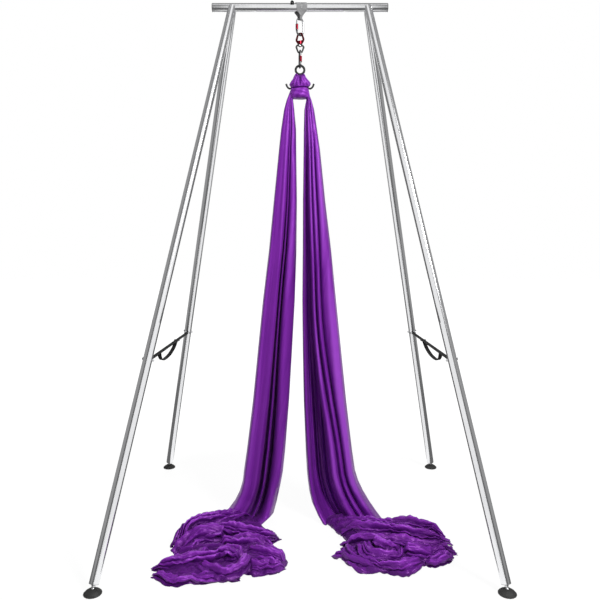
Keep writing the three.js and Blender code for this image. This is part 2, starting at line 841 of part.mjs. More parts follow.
function figureRing(outer, inner, height, grow, edge) {
  const half = figure.thickness / 2 + grow;
  const [far, near] = [outer + grow, inner - grow];
  return turned([
    [near, edge - half],
    [near + edge, -half],
    [far - edge, -half],
    [far, edge - half],
    [far, half - edge],
    [far - edge, half],
    [near + edge, half],
    [near, half - edge],
    [near, edge - half],
  ], figureRingSides).rotateX(Math.PI / 2).translate(0, 0, height);
}

const smallRingHeight = figureRodHeight + rodRadius + linkClearance - figure.smallInner;
const largeRingHeight = smallRingHeight - figure.ringDistance;
function figureEight(grow, edge) {
  const ear = (side) => {
    const path = earPathShares.map(([x, z]) => new THREE.Vector3(
      side * x * figure.largeOuter,
      0,
      largeRingHeight + z * figure.largeOuter,
    ));
    return rodAlong(path, figure.earRadius + grow, earSteps, rodSides);
  };
  const halfNeck = figure.neckHalfWidth + grow;
  const halfDepth = figure.thickness / 2 - figure.edge / 2 + grow;
  return joined(
    figureRing(figure.smallOuter, figure.smallInner, smallRingHeight, grow, edge),
    figureRing(figure.largeOuter, figure.largeInner, largeRingHeight, grow, edge),
    block(
      [-halfNeck, -halfDepth, largeRingHeight + figure.largeInner + figure.edge],
      [halfNeck, halfDepth, smallRingHeight - figure.smallInner - figure.edge],
    ),
    ear(-1),
    ear(1),
  );
}
addMesh(rig, 'figure_eight', figureEight(0, figure.edge), blackAnodised);

// Side straps: webbing from the front leg's staple to the rear leg's, with a slack loop
const strap = {
  width: 22,
  thickness: 2,
  eyeLength: 26,
  eyeSeam: 6,
  eyeClearance: 0.6,
  buckleAt: 178,
  stitchAt: -253,
  slackDepth: 58,
  buckleHalfLength: 12,
  buckleHalfWidth: 16,
  buckleThickness: 3,
  buckleBar: 3,
  weave: 2.9,
};
// The slack loop's places: share of the way from the buckle to the stitches, and of its depth
const slackShares = [[0, 0], [0.04, 0.32], [0.12, 0.62], [0.3, 0.9], [0.52, 1], [0.74, 0.86], [0.9, 0.5], [1, 0]];
// The weave through the buckle: shares of its half length, and of the strap's rise over its bars
const weaveShares = [[-2, 0], [-1.3, -1], [-0.8, -1], [-0.25, 1], [0.25, 1], [0.8, -1], [1.3, -1], [2, 0]];
const eyeSteps = 8;

sides.forEach(([name, side]) => {
  const leg = legs.find((one) => one.side === side && one.end === 1);
  const frame = new THREE.Group();
  const anchor = leg.frame.localToWorld(
    new THREE.Vector3(0, -(legRadius + staple.stand), legBolt.height),
  );
  frame.position.set(anchor.x, 0, anchor.z);
  frame.quaternion.setFromRotationMatrix(new THREE.Matrix4().makeBasis(
    leg.across,
    new THREE.Vector3(0, 1, 0),
    leg.across.clone().cross(new THREE.Vector3(0, 1, 0)),
  ));
  rig.add(frame);

  // Each eye is a drop with its point at the seam and its round end behind the staple
  const rootGap = anchor.y - strap.eyeLength;
  const eyeBore = staple.wireRadius + strap.eyeClearance;
  const drop = (end, radius, root, rootHalf) => {
    const arc = Array.from({ length: eyeSteps + 1 }, (_, i) => {
      const angle = Math.PI / 2 - Math.PI * i / eyeSteps;
      return new THREE.Vector2(end * (anchor.y + radius * Math.cos(angle)), radius * Math.sin(angle));
    });
    return [new THREE.Vector2(end * root, rootHalf), ...arc, new THREE.Vector2(end * root, -rootHalf)];
  };
  const eye = (end) => {
    const outline = new THREE.Shape(drop(end, eyeBore + strap.thickness, rootGap, strap.thickness / 2));
    const bore = drop(end, eyeBore, rootGap + strap.eyeSeam, 0).slice(1).reverse();
    outline.holes.push(new THREE.Path(bore));
    return acrossX(outline, strap.width);
  };
  const bar = strap.buckleHalfLength;
  const weave = weaveShares.map(([along, up]) => [strap.buckleAt + along * bar, up * strap.weave]);
  const mainEnd = rootGap + strap.eyeSeam / 2;
  const main = strip([[-mainEnd, 0], ...weave, [mainEnd, 0]], strap.thickness, strap.width);
  const slackStart = strap.buckleAt - bar * 2;
  const slack = strip(slackShares.map(([along, down]) => [
    THREE.MathUtils.lerp(slackStart, strap.stitchAt, along),
    -down * strap.slackDepth,
  ]), strap.thickness, strap.width);
  addMesh(frame, `side_strap_${name}`, joined(main, slack, eye(-1), eye(1)), blackWebbing);

  const frameShape = new THREE.Shape([
    [-strap.buckleHalfWidth, -bar - strap.buckleBar / 2],
    [strap.buckleHalfWidth, -bar - strap.buckleBar / 2],
    [strap.buckleHalfWidth, bar + strap.buckleBar / 2],
    [-strap.buckleHalfWidth, bar + strap.buckleBar / 2],
  ].map((corner) => new THREE.Vector2(...corner)));
  const slotHalfWidth = strap.width / 2 + seatClearance;
  [-1, 1].forEach((slot) => {
    const [near, far] = [slot * strap.buckleBar / 2, slot * (bar - strap.buckleBar / 2)];
    frameShape.holes.push(new THREE.Path([
      [-slotHalfWidth, near],
      [slotHalfWidth, near],
      [slotHalfWidth, far],
      [-slotHalfWidth, far],
    ].map((corner) => new THREE.Vector2(...corner))));
  });
  const buckle = new THREE.ExtrudeGeometry(frameShape, {
    depth: strap.buckleThickness,
    bevelEnabled: false,
  }).translate(0, strap.buckleAt, -strap.buckleThickness / 2);
  addMesh(frame, `slide_buckle_${name}`, buckle, blackPlastic);
});

// Silk: a knot on the large ring, and two tails that end in loose heaps on the floor
const silk = {
  reach: 374,
  topDepth: 18,
  floorDepth: 74,
  footRise: 1,
  heapHeight: 92,
  crownRadius: 300,
};
silk.split = largeRingHeight - figure.largeOuter * 1.75;
silk.tailTop = largeRingHeight - figure.largeOuter * 0.85;
const silkCounts = {
  tailSides: 28,
  heapSides: 40,
  knotSides: 20,
  pleats: 7,
  creases: 11,
};
const silkFoldShares = {
  pleat: 0.34,
  crease: 0.03,
  lean: 0.22,
  ripple: 0.1,
  waist: 0.16,
  waistWidth: 0.2,
};

// Each ring of a tail from the top down: shares of the tail's height, then of the silk's reach
// to its inner and outer edge
const tailShares = {
  left: [
    [1, 0.1, 0.19],
    [0.97, 0.1, 0.23],
    [0.93, 0.08, 0.26],
    [0.87, 0.06, 0.3],
    [0.75, 0.05, 0.37],
    [0.63, 0.06, 0.44],
    [0.51, 0.08, 0.52],
    [0.39, 0.11, 0.62],
    [0.27, 0.16, 0.7],
    [0.17, 0.22, 0.79],
    [0.1, 0.29, 0.88],
    [0.055, 0.36, 0.98],
    [0.025, 0.42, 1.14],
    [0, 0.44, 1.3],
  ],
  right: [
    [1, 0.09, 0.17],
    [0.97, 0.08, 0.19],
    [0.93, 0.07, 0.22],
    [0.87, 0.06, 0.26],
    [0.75, 0.045, 0.37],
    [0.63, 0.04, 0.47],
    [0.51, 0.035, 0.55],
    [0.39, 0.045, 0.63],
    [0.27, 0.065, 0.72],
    [0.17, 0.1, 0.8],
    [0.1, 0.14, 0.89],
    [0.055, 0.18, 1],
    [0.025, 0.25, 1.17],
    [0, 0.3, 1.4],
  ],
};

function silkTail(side, shares, phase) {
  const rings = shares.map(([heightShare, innerShare, outerShare]) => {
    const centre = side * silk.reach * (innerShare + outerShare) / 2;
    const halfWidth = silk.reach * (outerShare - innerShare) / 2;
    const halfDepth = THREE.MathUtils.lerp(silk.floorDepth, silk.topDepth, heightShare);
    return Array.from({ length: silkCounts.tailSides }, (_, i) => {
      const angle = Math.PI * 2 * i / silkCounts.tailSides;
      const pleat = 1 + silkFoldShares.pleat * Math.sin(silkCounts.pleats * angle + phase);
      return new THREE.Vector3(
        centre + halfWidth * Math.cos(angle),
        halfDepth * pleat * Math.sin(angle),
        silk.footRise + heightShare * (silk.tailTop - silk.footRise),
      );
    });
  }).reverse();
  return loft(rings, false);
}

// Each ring of a heap from the middle of its underside up to its crown: shares of its footprint, of
// its height, and of how far the outline has turned into the round crown
const heapRingShares = [
  [0.1, 0, 1],
  [0.97, 0, 0],
  [1, 0.2, 0],
  [0.96, 0.42, 0],
  [0.85, 0.64, 0],
  [0.68, 0.82, 0.2],
  [0.44, 0.94, 0.6],
  [0.18, 1, 1],
];
// Each heap's middle and the outline of its footprint, as shares of the silk's reach, and the
// direction of its highest folds
const heapPlans = {
  left: {
    middle: [-1.04, -0.91],
    outline: [
      [-0.31, -0.7],
      [-0.49, -0.6],
      [-0.57, -0.16],
      [-0.78, 0.08],
      [-1.07, 0.09],
      [-1.28, -0.09],
      [-1.42, -0.35],
      [-1.6, -0.6],
      [-1.75, -0.91],
      [-1.64, -1.26],
      [-1.87, -1.71],
      [-1.6, -1.93],
      [-1.07, -1.89],
      [-0.55, -1.75],
      [-0.21, -1.63],
      [-0.19, -1.39],
      [-0.36, -1.07],
    ],
    highest: THREE.MathUtils.degToRad(150),
  },
  right: {
    middle: [1.26, -0.88],
    outline: [
      [1.99, -0.88],
      [1.87, -0.7],
      [1.6, -0.55],
      [1.36, -0.45],
      [1.07, -0.17],
      [0.74, 0],
      [0.43, -0.03],
      [0.37, -0.21],
      [0.53, -0.56],
      [0.57, -0.88],
      [0.45, -1.31],
      [0.6, -1.54],
      [0.82, -1.64],
      [1.26, -1.71],
      [1.5, -1.68],
      [1.71, -1.55],
      [1.98, -1.46],
      [2.02, -1.2],
    ],
    highest: THREE.MathUtils.degToRad(30),
  },
};

function silkHeap({ middle, outline, highest }, phase) {
  const centre = new THREE.Vector3(...middle, 0).multiplyScalar(silk.reach);
  const corners = outline.map(([x, y]) => new THREE.Vector3(x, y, 0).multiplyScalar(silk.reach));
  const hem = new THREE.CatmullRomCurve3(corners, true).getSpacedPoints(silkCounts.heapSides).slice(1);
  const rings = heapRingShares.map(([spreadShare, riseShare, roundShare], level) => (
    hem.map((point) => {
      const outward = point.clone().sub(centre);
      const angle = Math.atan2(outward.y, outward.x);
      const crease = Math.sin(silkCounts.creases * angle - level + phase);
      const lean = Math.cos(angle - highest);
      const spread = spreadShare * (1 + silkFoldShares.crease * crease);
      const rise = riseShare * (1 + silkFoldShares.lean * lean + silkFoldShares.ripple * crease);
      const height = silk.footRise + silk.heapHeight * rise;
      const reach = THREE.MathUtils.lerp(outward.length(), silk.crownRadius, roundShare);
      return outward.setLength(reach * spread).add(centre).setZ(height);
    })
  ));
  return loft(rings, false);
}

// Each ring of the knot from the bottom up: height above the large ring's middle, left and right
// half widths and half depth, as shares of the large ring's outer radius
const knotShares = [
  [-1.59, 0.84, 0.84, 0.68],
  [-1.47, 0.96, 0.96, 0.8],
  [-0.95, 1.02, 1, 0.88],
  [-0.51, 1, 0.98, 0.84],
  [-0.35, 1.04, 1, 0.8],
  [-0.11, 1.2, 1.24, 0.92],
  [0.25, 1.1, 1.2, 0.88],
  [0.65, 0.84, 0.92, 0.72],
  [0.97, 0.66, 0.68, 0.44],
  [1.22, 0.54, 0.54, 0.3],
];

function silkKnot() {
  const radius = figure.largeOuter;
  const rings = knotShares.map(([heightShare, leftShare, rightShare, depthShare]) => (
    Array.from({ length: silkCounts.knotSides }, (_, i) => {
      const angle = Math.PI * 2 * i / silkCounts.knotSides;
      const across = Math.cos(angle);
      const widthShare = across < 0 ? leftShare : rightShare;
      const waist = 1 - silkFoldShares.waist * Math.exp(-((across / silkFoldShares.waistWidth) ** 2));
      return new THREE.Vector3(
        radius * widthShare * across,
        radius * depthShare * waist * Math.sin(angle),
        largeRingHeight + radius * heightShare,
      );
    })
  ));
  return loft(rings, false);
}

const beyond = barHeight;
const above = (height) => block([-beyond, -beyond, height], [beyond, beyond, height + beyond]);
const below = (height) => block([-beyond, -beyond, -beyond], [beyond, beyond, height]);
const tails = {
  left: silkTail(-1, tailShares.left, 0),
  right: silkTail(1, tailShares.right, Math.PI),
};
const tailRoots = Object.values(tails).map((tail) => shared(tail, above(silk.split + clearance)));
const knot = cut(joined(silkKnot(), ...tailRoots), figureEight(clearance, 0));
addMesh(rig, 'silk_knot', knot, purpleSilk);
sides.forEach(([name, side]) => {
  const whole = joined(tails[name], silkHeap(heapPlans[name], side));
  addMesh(rig, `silk_${name}`, shared(whole, below(silk.split)), purpleSilk);
});

export default rig;
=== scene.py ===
import json
import math

import bmesh
import bpy
import numpy as np
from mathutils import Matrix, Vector, noise
from mathutils.bvhtree import BVHTree

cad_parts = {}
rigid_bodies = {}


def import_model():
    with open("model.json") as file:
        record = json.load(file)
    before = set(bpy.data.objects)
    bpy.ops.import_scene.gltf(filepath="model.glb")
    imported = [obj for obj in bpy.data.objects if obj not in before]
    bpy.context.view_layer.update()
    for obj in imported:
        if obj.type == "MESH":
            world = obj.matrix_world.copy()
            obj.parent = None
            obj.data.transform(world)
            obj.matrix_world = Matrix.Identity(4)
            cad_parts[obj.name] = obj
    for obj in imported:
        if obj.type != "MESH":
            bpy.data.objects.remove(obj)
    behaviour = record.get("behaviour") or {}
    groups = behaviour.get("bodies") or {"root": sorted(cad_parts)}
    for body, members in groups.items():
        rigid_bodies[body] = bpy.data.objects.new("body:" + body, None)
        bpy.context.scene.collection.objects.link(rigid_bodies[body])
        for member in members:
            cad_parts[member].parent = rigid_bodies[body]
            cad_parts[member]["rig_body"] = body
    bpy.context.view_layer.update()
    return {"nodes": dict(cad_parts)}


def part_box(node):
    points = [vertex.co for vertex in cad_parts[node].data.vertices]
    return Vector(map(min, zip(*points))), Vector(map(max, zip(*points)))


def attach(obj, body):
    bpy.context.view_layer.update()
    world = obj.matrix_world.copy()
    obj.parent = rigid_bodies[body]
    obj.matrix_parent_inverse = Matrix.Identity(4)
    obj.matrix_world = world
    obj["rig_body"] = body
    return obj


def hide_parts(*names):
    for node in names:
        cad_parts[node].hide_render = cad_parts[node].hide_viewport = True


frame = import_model()
nodes = frame["nodes"]
scene = bpy.context.scene

print("camera and stage")

cameraView = {"place": (0, -3.475, 1.52), "lens": 36.24, "sensor": 36, "shift": -0.0795}

cameraData = bpy.data.cameras.new("photoCamera")
cameraData.lens = cameraView["lens"]
cameraData.sensor_width = cameraView["sensor"]
cameraData.shift_y = cameraView["shift"]
cameraObject = bpy.data.objects.new("photoCamera", cameraData)
cameraObject.location = cameraView["place"]
cameraObject.rotation_euler = (math.radians(90), 0, 0)
scene.collection.objects.link(cameraObject)
scene.camera = cameraObject
scene.view_settings.view_transform = "Standard"


def feed(tree, socket, value):
    # Links a socket to another one, or sets its plain value
    if isinstance(value, bpy.types.NodeSocket):
        tree.links.new(value, socket)
    else:
        socket.default_value = value


def addNode(tree, kind, inputs=None, **settings):
    # One shader or geometry node; inputs are plain values or sockets to link
    node = tree.nodes.new(kind)
    for name, value in settings.items():
        setattr(node, name, value)
    for name, value in (inputs or {}).items():
        feed(tree, node.inputs[name], value)
    return node


def emptyTree(owner):
    # The cleared node tree of a material or of the world
    owner.use_nodes = True
    owner.node_tree.nodes.clear()
    return owner.node_tree


def maths(tree, operation, first, second=0.0, clamp=False):
    node = addNode(tree, "ShaderNodeMath", {0: first, 1: second}, operation=operation, use_clamp=clamp)
    return node.outputs[0]


def times(tree, first, second):
    return maths(tree, "MULTIPLY", first, second)


def plus(tree, first, second, clamp=False):
    return maths(tree, "ADD", first, second, clamp)


def mixColours(tree, share, first, second, blend="MIX"):
    node = addNode(tree, "ShaderNodeMix", {0: share, 6: first, 7: second}, data_type="RGBA", blend_type=blend)
    return node.outputs[2]


def span(tree, value, fromLow, fromHigh, toLow, toHigh):
    limits = {"Value": value, "From Min": fromLow, "From Max": fromHigh, "To Min": toLow, "To Max": toHigh}
    return addNode(tree, "ShaderNodeMapRange", limits).outputs["Result"]


def noiseTexture(tree, vector, scale, detail):
    node = addNode(tree, "ShaderNodeTexNoise", {"Vector": vector, "Scale": scale, "Detail": detail})
    return node.outputs["Fac"]


def meshPiece(name, points, faces, smooth=True, uvs=None, folds=None):
    mesh = bpy.data.meshes.new(name)
    mesh.from_pydata([tuple(point) for point in points], [], faces)
    mesh.polygons.foreach_set("use_smooth", [smooth] * len(mesh.polygons))
    if uvs is not None:
        layer = mesh.uv_layers.new(name="UVMap")
        corners = np.zeros(len(mesh.loops), dtype=np.int32)
        mesh.loops.foreach_get("vertex_index", corners)
        layer.data.foreach_set("uv", np.asarray(uvs, np.float32)[corners].ravel())
    # The fold shade attribute: painted shade in valleys and hollows and painted highlight on ridges, which
    # the silk's colour follows
    if folds is not None:
        mesh.attributes.new("fold", "FLOAT", "POINT").data.foreach_set("value", np.asarray(folds, np.float32))
    mesh.update()
    piece = bpy.data.objects.new(name, mesh)
    scene.collection.objects.link(piece)
    return piece


def gridFaces(rows, columns, closed=False, start=0):
    # Quads between rows of points; closed joins each row's end to its beginning
    wide = columns if closed else columns - 1
    return [
        (start + r * columns + c, start + r * columns + (c + 1) % columns,
         start + (r + 1) * columns + (c + 1) % columns, start + (r + 1) * columns + c)
        for r in range(rows - 1) for c in range(wide)
    ]


def closeRing(points, faces, uvs, folds, first, count, middle, fold, flip=False):
    # A fan from the ring of count points from first on to a new one in its middle, with this UV and fold
    # shade
    tip = len(points)
    points.append(tuple(np.mean(points[first:first + count], axis=0)))
    uvs.append(middle)
    folds.append(fold)
    for i in range(count):
        pair = (first + i, first + (i + 1) % count)
        faces.append((*(pair[::-1] if flip else pair), tip))


def flatPiece(name, corners):
    return meshPiece(name, corners, [(0, 1, 2, 3)], smooth=False)


def faceOutward(piece):
    build = bmesh.new()
    build.from_mesh(piece.data)
    bmesh.ops.recalc_face_normals(build, faces=build.faces)
    build.to_mesh(piece.data)
    build.free()


def standIn(piece, node, body):
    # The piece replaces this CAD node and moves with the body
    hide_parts(node)
    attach(piece, body)


def grown(value, start, distance):
    # From 0 at the start to 1 this distance further
    return max(0, min(1, (value - start) / distance))


stageSizes = {
    "floorReach": 30,
    "floorGrey": 0.5,
    "clearFrom": 1.2,   # radius in which the floor shows the object's soft shadow
    "clearTo": 2.6,
    "shadowShare": 0.16,
    "floorGlow": 1.12,
    "worldLight": 0.26,
}
pureWhite = (1, 1, 1, 1)

reach, grey = stageSizes["floorReach"], stageSizes["floorGrey"]
signs = [(-1, -1), (1, -1), (1, 1), (-1, 1)]
floor = flatPiece("studioFloor", [(x * reach, y * reach, 0) for x, y in signs])
floorPaint = bpy.data.materials.new("paleFloor")
tree = emptyTree(floorPaint)
lightPath = addNode(tree, "ShaderNodeLightPath").outputs
coordinates = addNode(tree, "ShaderNodeTexCoord")
distance = addNode(tree, "ShaderNodeVectorMath", {0: coordinates.outputs["Object"]}, operation="LENGTH")
shadowShare = span(tree, distance.outputs["Value"], stageSizes["clearFrom"], stageSizes["clearTo"],
                   1 - stageSizes["shadowShare"], 1)
seen = times(tree, lightPath["Is Camera Ray"], shadowShare)
mirrored = plus(tree, lightPath["Is Glossy Ray"], lightPath["Is Transmission Ray"])
bright = plus(tree, seen, mirrored, clamp=True)
matte = addNode(tree, "ShaderNodeBsdfDiffuse", {"Color": (grey, grey, grey, 1)})
glow = addNode(tree, "ShaderNodeEmission", {"Color": pureWhite, "Strength": stageSizes["floorGlow"]})
blend = addNode(tree, "ShaderNodeMixShader", {0: bright, 1: matte.outputs[0], 2: glow.outputs[0]})
addNode(tree, "ShaderNodeOutputMaterial", {"Surface": blend.outputs[0]})
floor.data.materials.append(floorPaint)

world = bpy.data.worlds.new("studioWorld")
scene.world = world
tree = emptyTree(world)
lightPath = addNode(tree, "ShaderNodeLightPath").outputs
seen = plus(tree, lightPath["Is Camera Ray"], lightPath["Is Glossy Ray"])
seen = plus(tree, seen, lightPath["Is Transmission Ray"], clamp=True)
strength = span(tree, seen, 0, 1, stageSizes["worldLight"], 1)
sky = addNode(tree, "ShaderNodeBackground", {"Color": pureWhite, "Strength": strength})
addNode(tree, "ShaderNodeOutputWorld", {"Surface": sky.outputs[0]})

# Soft lamps: place, aim, size and power
lamps = {
    "keyLamp": ((2.6, -3.6, 4.3), (0, 0, 1.0), 1.2, 250),
    "fillLamp": ((-3.6, -4.2, 2.4), (0, 0, 1.0), 2.4, 50),
    "backLamp": ((-0.8, 4.4, 4.4), (0, 0, 1.3), 2.8, 110),
}
for name, (place, aim, size, power) in lamps.items():
    lamp = bpy.data.lights.new(name, "AREA")
    lamp.size = size
    lamp.energy = power
    holder = bpy.data.objects.new(name, lamp)
    holder.location = place
    holder.rotation_mode = "QUATERNION"
    holder.rotation_quaternion = (Vector(aim) - Vector(place)).to_track_quat("-Z", "Y")
    holder.visible_glossy = name == "keyLamp"
    scene.collection.objects.link(holder)

# Glowing cards that only reflections see: corners and brightness
cards = {
    "middleCard": ([(0, -3.45, 0), (0, -0.35, 0), (0, -0.35, 8), (0, -3.45, 8)], 1.0),
    "behindCard": ([(0, 0.9, 0), (0, 5, 0), (0, 5, 8), (0, 0.9, 8)], 0.25),
    "barCard": ([(-1.1, -3.4, 0.35), (1.1, -3.4, 0.35), (1.1, -0.4, 1.2), (-1.1, -0.4, 1.2)], 0.13),
    "nearFloorCard": ([(-1.6, -7, 0.01), (1.6, -7, 0.01), (1.6, -3.4, 0.01), (-1.6, -3.4, 0.01)], 0.25),
    "farFloorCard": ([(-1.6, 0.9, 0.01), (1.6, 0.9, 0.01), (1.6, 4, 0.01), (-1.6, 4, 0.01)], 0.24),
    "backCard": ([(-4, 5, 4.2), (4, 5, 4.2), (4, 5, 9), (-4, 5, 9)], 0.25),
    "topCard": ([(-2.5, -1.4, 8), (2.5, -1.4, 8), (2.5, 5, 8), (-2.5, 5, 8)], 0.3),
}
fromAbove = {"barCard"}   # seen by reflections from above only
# The right one of each pair
pairedCards = {
    "FrontCard": ([(4.4, -3.8, 0), (0.9, -3.8, 0), (0.9, -3.8, 9), (4.4, -3.8, 9)], 0.15),
    "SideCard": ([(3, -4, 0), (3, 4, 0), (3, 4, 8), (3, -4, 8)], 0.34),
    "FloorCard": ([(3, -4, 0.01), (0.9, -4, 0.01), (0.9, 4, 0.01), (3, 4, 0.01)], 0.16),
}
# Between the silk and the legs: grey beside the front leg's inner edge, bright for the rear leg
innerCards = {
    "frontInnerCard": ([(0.75, -0.74, 0), (0.75, 0, 0), (0.25, 0, 2.9), (0.25, -0.02, 2.9)], 0.14),
    "rearInnerCard": ([(0.75, 0, 0), (0.75, 0.76, 0), (0.25, 0.03, 2.9), (0.25, 0, 2.9)], 1.0),
}
for name, side in (("left", -1), ("right", 1)):
    for ending, (corners, brightness) in pairedCards.items():
        cards[name + ending] = ([(side * x, y, z) for x, y, z in corners], brightness)
    for beginning, (corners, brightness) in innerCards.items():
        cards[f"{beginning}{side}"] = ([(side * x, y, z) for x, y, z in corners], brightness)
for name, (corners, brightness) in cards.items():
    card = flatPiece(name, corners)
    paint = bpy.data.materials.new(name)
    tree = emptyTree(paint)
    glow = addNode(tree, "ShaderNodeEmission", {"Color": pureWhite, "Strength": brightness})
    if name in fromAbove:
        geometry = addNode(tree, "ShaderNodeNewGeometry")
        clear = addNode(tree, "ShaderNodeBsdfTransparent")
        glow = addNode(tree, "ShaderNodeMixShader",
                       {0: geometry.outputs["Backfacing"], 1: glow.outputs[0], 2: clear.outputs[0]})
    addNode(tree, "ShaderNodeOutputMaterial", {"Surface": glow.outputs[0]})
    card.data.materials.append(paint)
    for rays in ("camera", "diffuse", "transmission", "shadow"):
        setattr(card, "visible_" + rays, False)

print("materials")


def makeGroup(name, inputs, outputs):
    # A shader node group: a vector and these numbers with their usual values in, numbers out
    group = bpy.data.node_groups.new(name, "ShaderNodeTree")
    group.interface.new_socket("Vector", in_out="INPUT", socket_type="NodeSocketVector")
    for label, value in inputs.items():
        group.interface.new_socket(label, in_out="INPUT", socket_type="NodeSocketFloat").default_value = value
    for label in outputs:
        group.interface.new_socket(label, in_out="OUTPUT", socket_type="NodeSocketFloat")
    return group, group.nodes.new("NodeGroupInput").outputs, group.nodes.new("NodeGroupOutput").inputs


def useGroup(tree, group, inputs):
    return addNode(tree, "ShaderNodeGroup", inputs, node_tree=group).outputs


grainSizes = {
    "scratch": (1, 1, 0.08),   # scratches run long along a piece
    "cloud": 22,
    "fuzz": 900,
    "fuzzShare": 0.3,          # of a webbing's shade, the rest is its weave
}

# Fine marks of handling: cloudy smears and short scratches
handlingMarks, given, result = makeGroup(
    "handlingMarks", {"Smear Scale": 14, "Scratch Scale": 160, "Amount": 1}, ("Shade", "Height"))
tree = handlingMarks
stretched = addNode(tree, "ShaderNodeMapping", {"Vector": given["Vector"], "Scale": grainSizes["scratch"]})
smear = noiseTexture(tree, given["Vector"], given["Smear Scale"], 4)
scratch = noiseTexture(tree, stretched.outputs[0], given["Scratch Scale"], 3)
tree.links.new(times(tree, smear, given["Amount"]), result["Shade"])
tree.links.new(times(tree, scratch, given["Amount"]), result["Height"])

# Even grain of paint, rubber and moulded plastic
castGrain, given, result = makeGroup("castGrain", {"Scale": 700}, ("Shade", "Height"))
tree = castGrain
tree.links.new(noiseTexture(tree, given["Vector"], grainSizes["cloud"], 3), result["Shade"])
tree.links.new(noiseTexture(tree, given["Vector"], given["Scale"], 2), result["Height"])

# Webbing: yarns that cross, from the piece's own UV in metres
webbingWeave, given, result = makeGroup("webbingWeave", {"Yarn": 0.0016, "Pick": 0.0022}, ("Height", "Shade"))
tree = webbingWeave
parts = addNode(tree, "ShaderNodeSeparateXYZ", {"Vector": given["Vector"]})
across = maths(tree, "DIVIDE", parts.outputs["X"], given["Yarn"])
along = maths(tree, "DIVIDE", parts.outputs["Y"], given["Pick"])
shifted = plus(tree, along, maths(tree, "FLOOR", across))
warp, weft = (maths(tree, "SINE", times(tree, way, math.pi)) for way in (across, shifted))
bump = times(tree, maths(tree, "ABSOLUTE", warp), maths(tree, "ABSOLUTE", weft))
fuzz = noiseTexture(tree, given["Vector"], grainSizes["fuzz"], 2)
tree.links.new(bump, result["Height"])
# Painted shade: the colour is darker where the yarns dip between crossings, with fine fuzz
shade = plus(tree, times(tree, bump, 1 - grainSizes["fuzzShare"]), times(tree, fuzz, grainSizes["fuzzShare"]))
tree.links.new(shade, result["Shade"])


def startMaterial(name, **values):
    material = bpy.data.materials.new(name)
    material.use_nodes = True
    tree = material.node_tree
    shader = tree.nodes["Principled BSDF"]
    for label, value in values.items():
        shader.inputs[label.replace("_", " ")].default_value = value
    return material, tree, shader, addNode(tree, "ShaderNodeTexCoord").outputs


def addBump(tree, shader, height, distance):
    bump = addNode(tree, "ShaderNodeBump", {"Height": height, "Distance": distance, "Strength": 1.0})
    tree.links.new(bump.outputs["Normal"], shader.inputs["Normal"])


def grainedMaterial(name, group, settings, colours, bump, place="Object", roughness=None, shades=(0, 1),
                    **values):
    # A material whose colour, roughness and bump follow the marks that a group makes
    material, tree, shader, places = startMaterial(name, **values)
    marks = useGroup(tree, group, {"Vector": places[place], **settings})
    tree.links.new(mixColours(tree, marks["Shade"], *colours), shader.inputs["Base Color"])
    if roughness:
        tree.links.new(span(tree, marks["Shade"], *shades, *roughness), shader.inputs["Roughness"])
    addBump(tree, shader, marks["Height"], bump)
    return material


def metalFinish(name, colour, deep, roughness, marks=1, metallic=1.0, bump=0.00002, smearScale=14):
    # Polished, plated or anodised metal with smears
    settings = {"Smear Scale": smearScale, "Amount": marks}
    return grainedMaterial(name, handlingMarks, settings, (colour, deep), bump, roughness=roughness,
                           Metallic=metallic)


def mouldedFinish(name, colour, deep, roughness, scale, bump):
    return grainedMaterial(name, castGrain, {"Scale": scale}, (colour, deep), bump, roughness=roughness,
                           shades=(0.2, 0.8))


def webbingFinish(name, dark, light, yarn, pick, sheen=0.08, specular=0.5):
    return grainedMaterial(name, webbingWeave, {"Yarn": yarn, "Pick": pick}, (dark, light), 0.0005,
                           place="UV", Roughness=0.82, Sheen_Weight=sheen, Sheen_Roughness=0.4,
                           Specular_IOR_Level=specular)


# The finish of each slot of the hard solids
finishes = {
    "tube_steel": metalFinish("tubeSteel", (0.84, 0.84, 0.85, 1), (0.72, 0.73, 0.75, 1), (0.1, 0.26), 0.8),
    "zinc_steel": metalFinish("zincSteel", (0.66, 0.66, 0.66, 1), (0.5, 0.5, 0.52, 1), (0.24, 0.42),
                              bump=0.00006, smearScale=90),
    "carabiner_steel": metalFinish("carabinerSteel", (0.26, 0.26, 0.265, 1), (0.17, 0.17, 0.175, 1),
                                   (0.22, 0.36), smearScale=70),
    "red_aluminium": metalFinish("redAluminium", (0.2, 0.012, 0.024, 1), (0.12, 0.006, 0.013, 1), (0.26, 0.4),
                                 smearScale=60),
    "black_aluminium": metalFinish("blackAluminium", (0.02, 0.021, 0.02, 1), (0.01, 0.011, 0.01, 1),
                                   (0.4, 0.55), metallic=0.3, smearScale=60),
    "black_plastic": mouldedFinish("blackPlastic", (0.02, 0.02, 0.021, 1), (0.032, 0.032, 0.033, 1),
                                   (0.34, 0.5), 900, 0.00008),
    "black_rubber": mouldedFinish("blackRubber", (0.014, 0.014, 0.014, 1), (0.03, 0.03, 0.029, 1),
                                  (0.55, 0.8), 600, 0.00018),
}

greyWebbing = webbingFinish("greyWebbing", (0.13, 0.13, 0.133, 1), (0.48, 0.48, 0.49, 1), 0.0017, 0.0026)
blackWebbing = webbingFinish("blackWebbing", (0.003, 0.003, 0.003, 1), (0.014, 0.014, 0.0145, 1),
                             0.0015, 0.0022, sheen=0.02, specular=0.2)
blackThread = mouldedFinish("blackThread", (0.03, 0.03, 0.032, 1), (0.06, 0.06, 0.062, 1),
                            (0.5, 0.7), 2200, 0.00005)
greyThread = mouldedFinish("greyThread", (0.4, 0.4, 0.41, 1), (0.55, 0.55, 0.56, 1),
                           (0.5, 0.7), 2200, 0.00005)

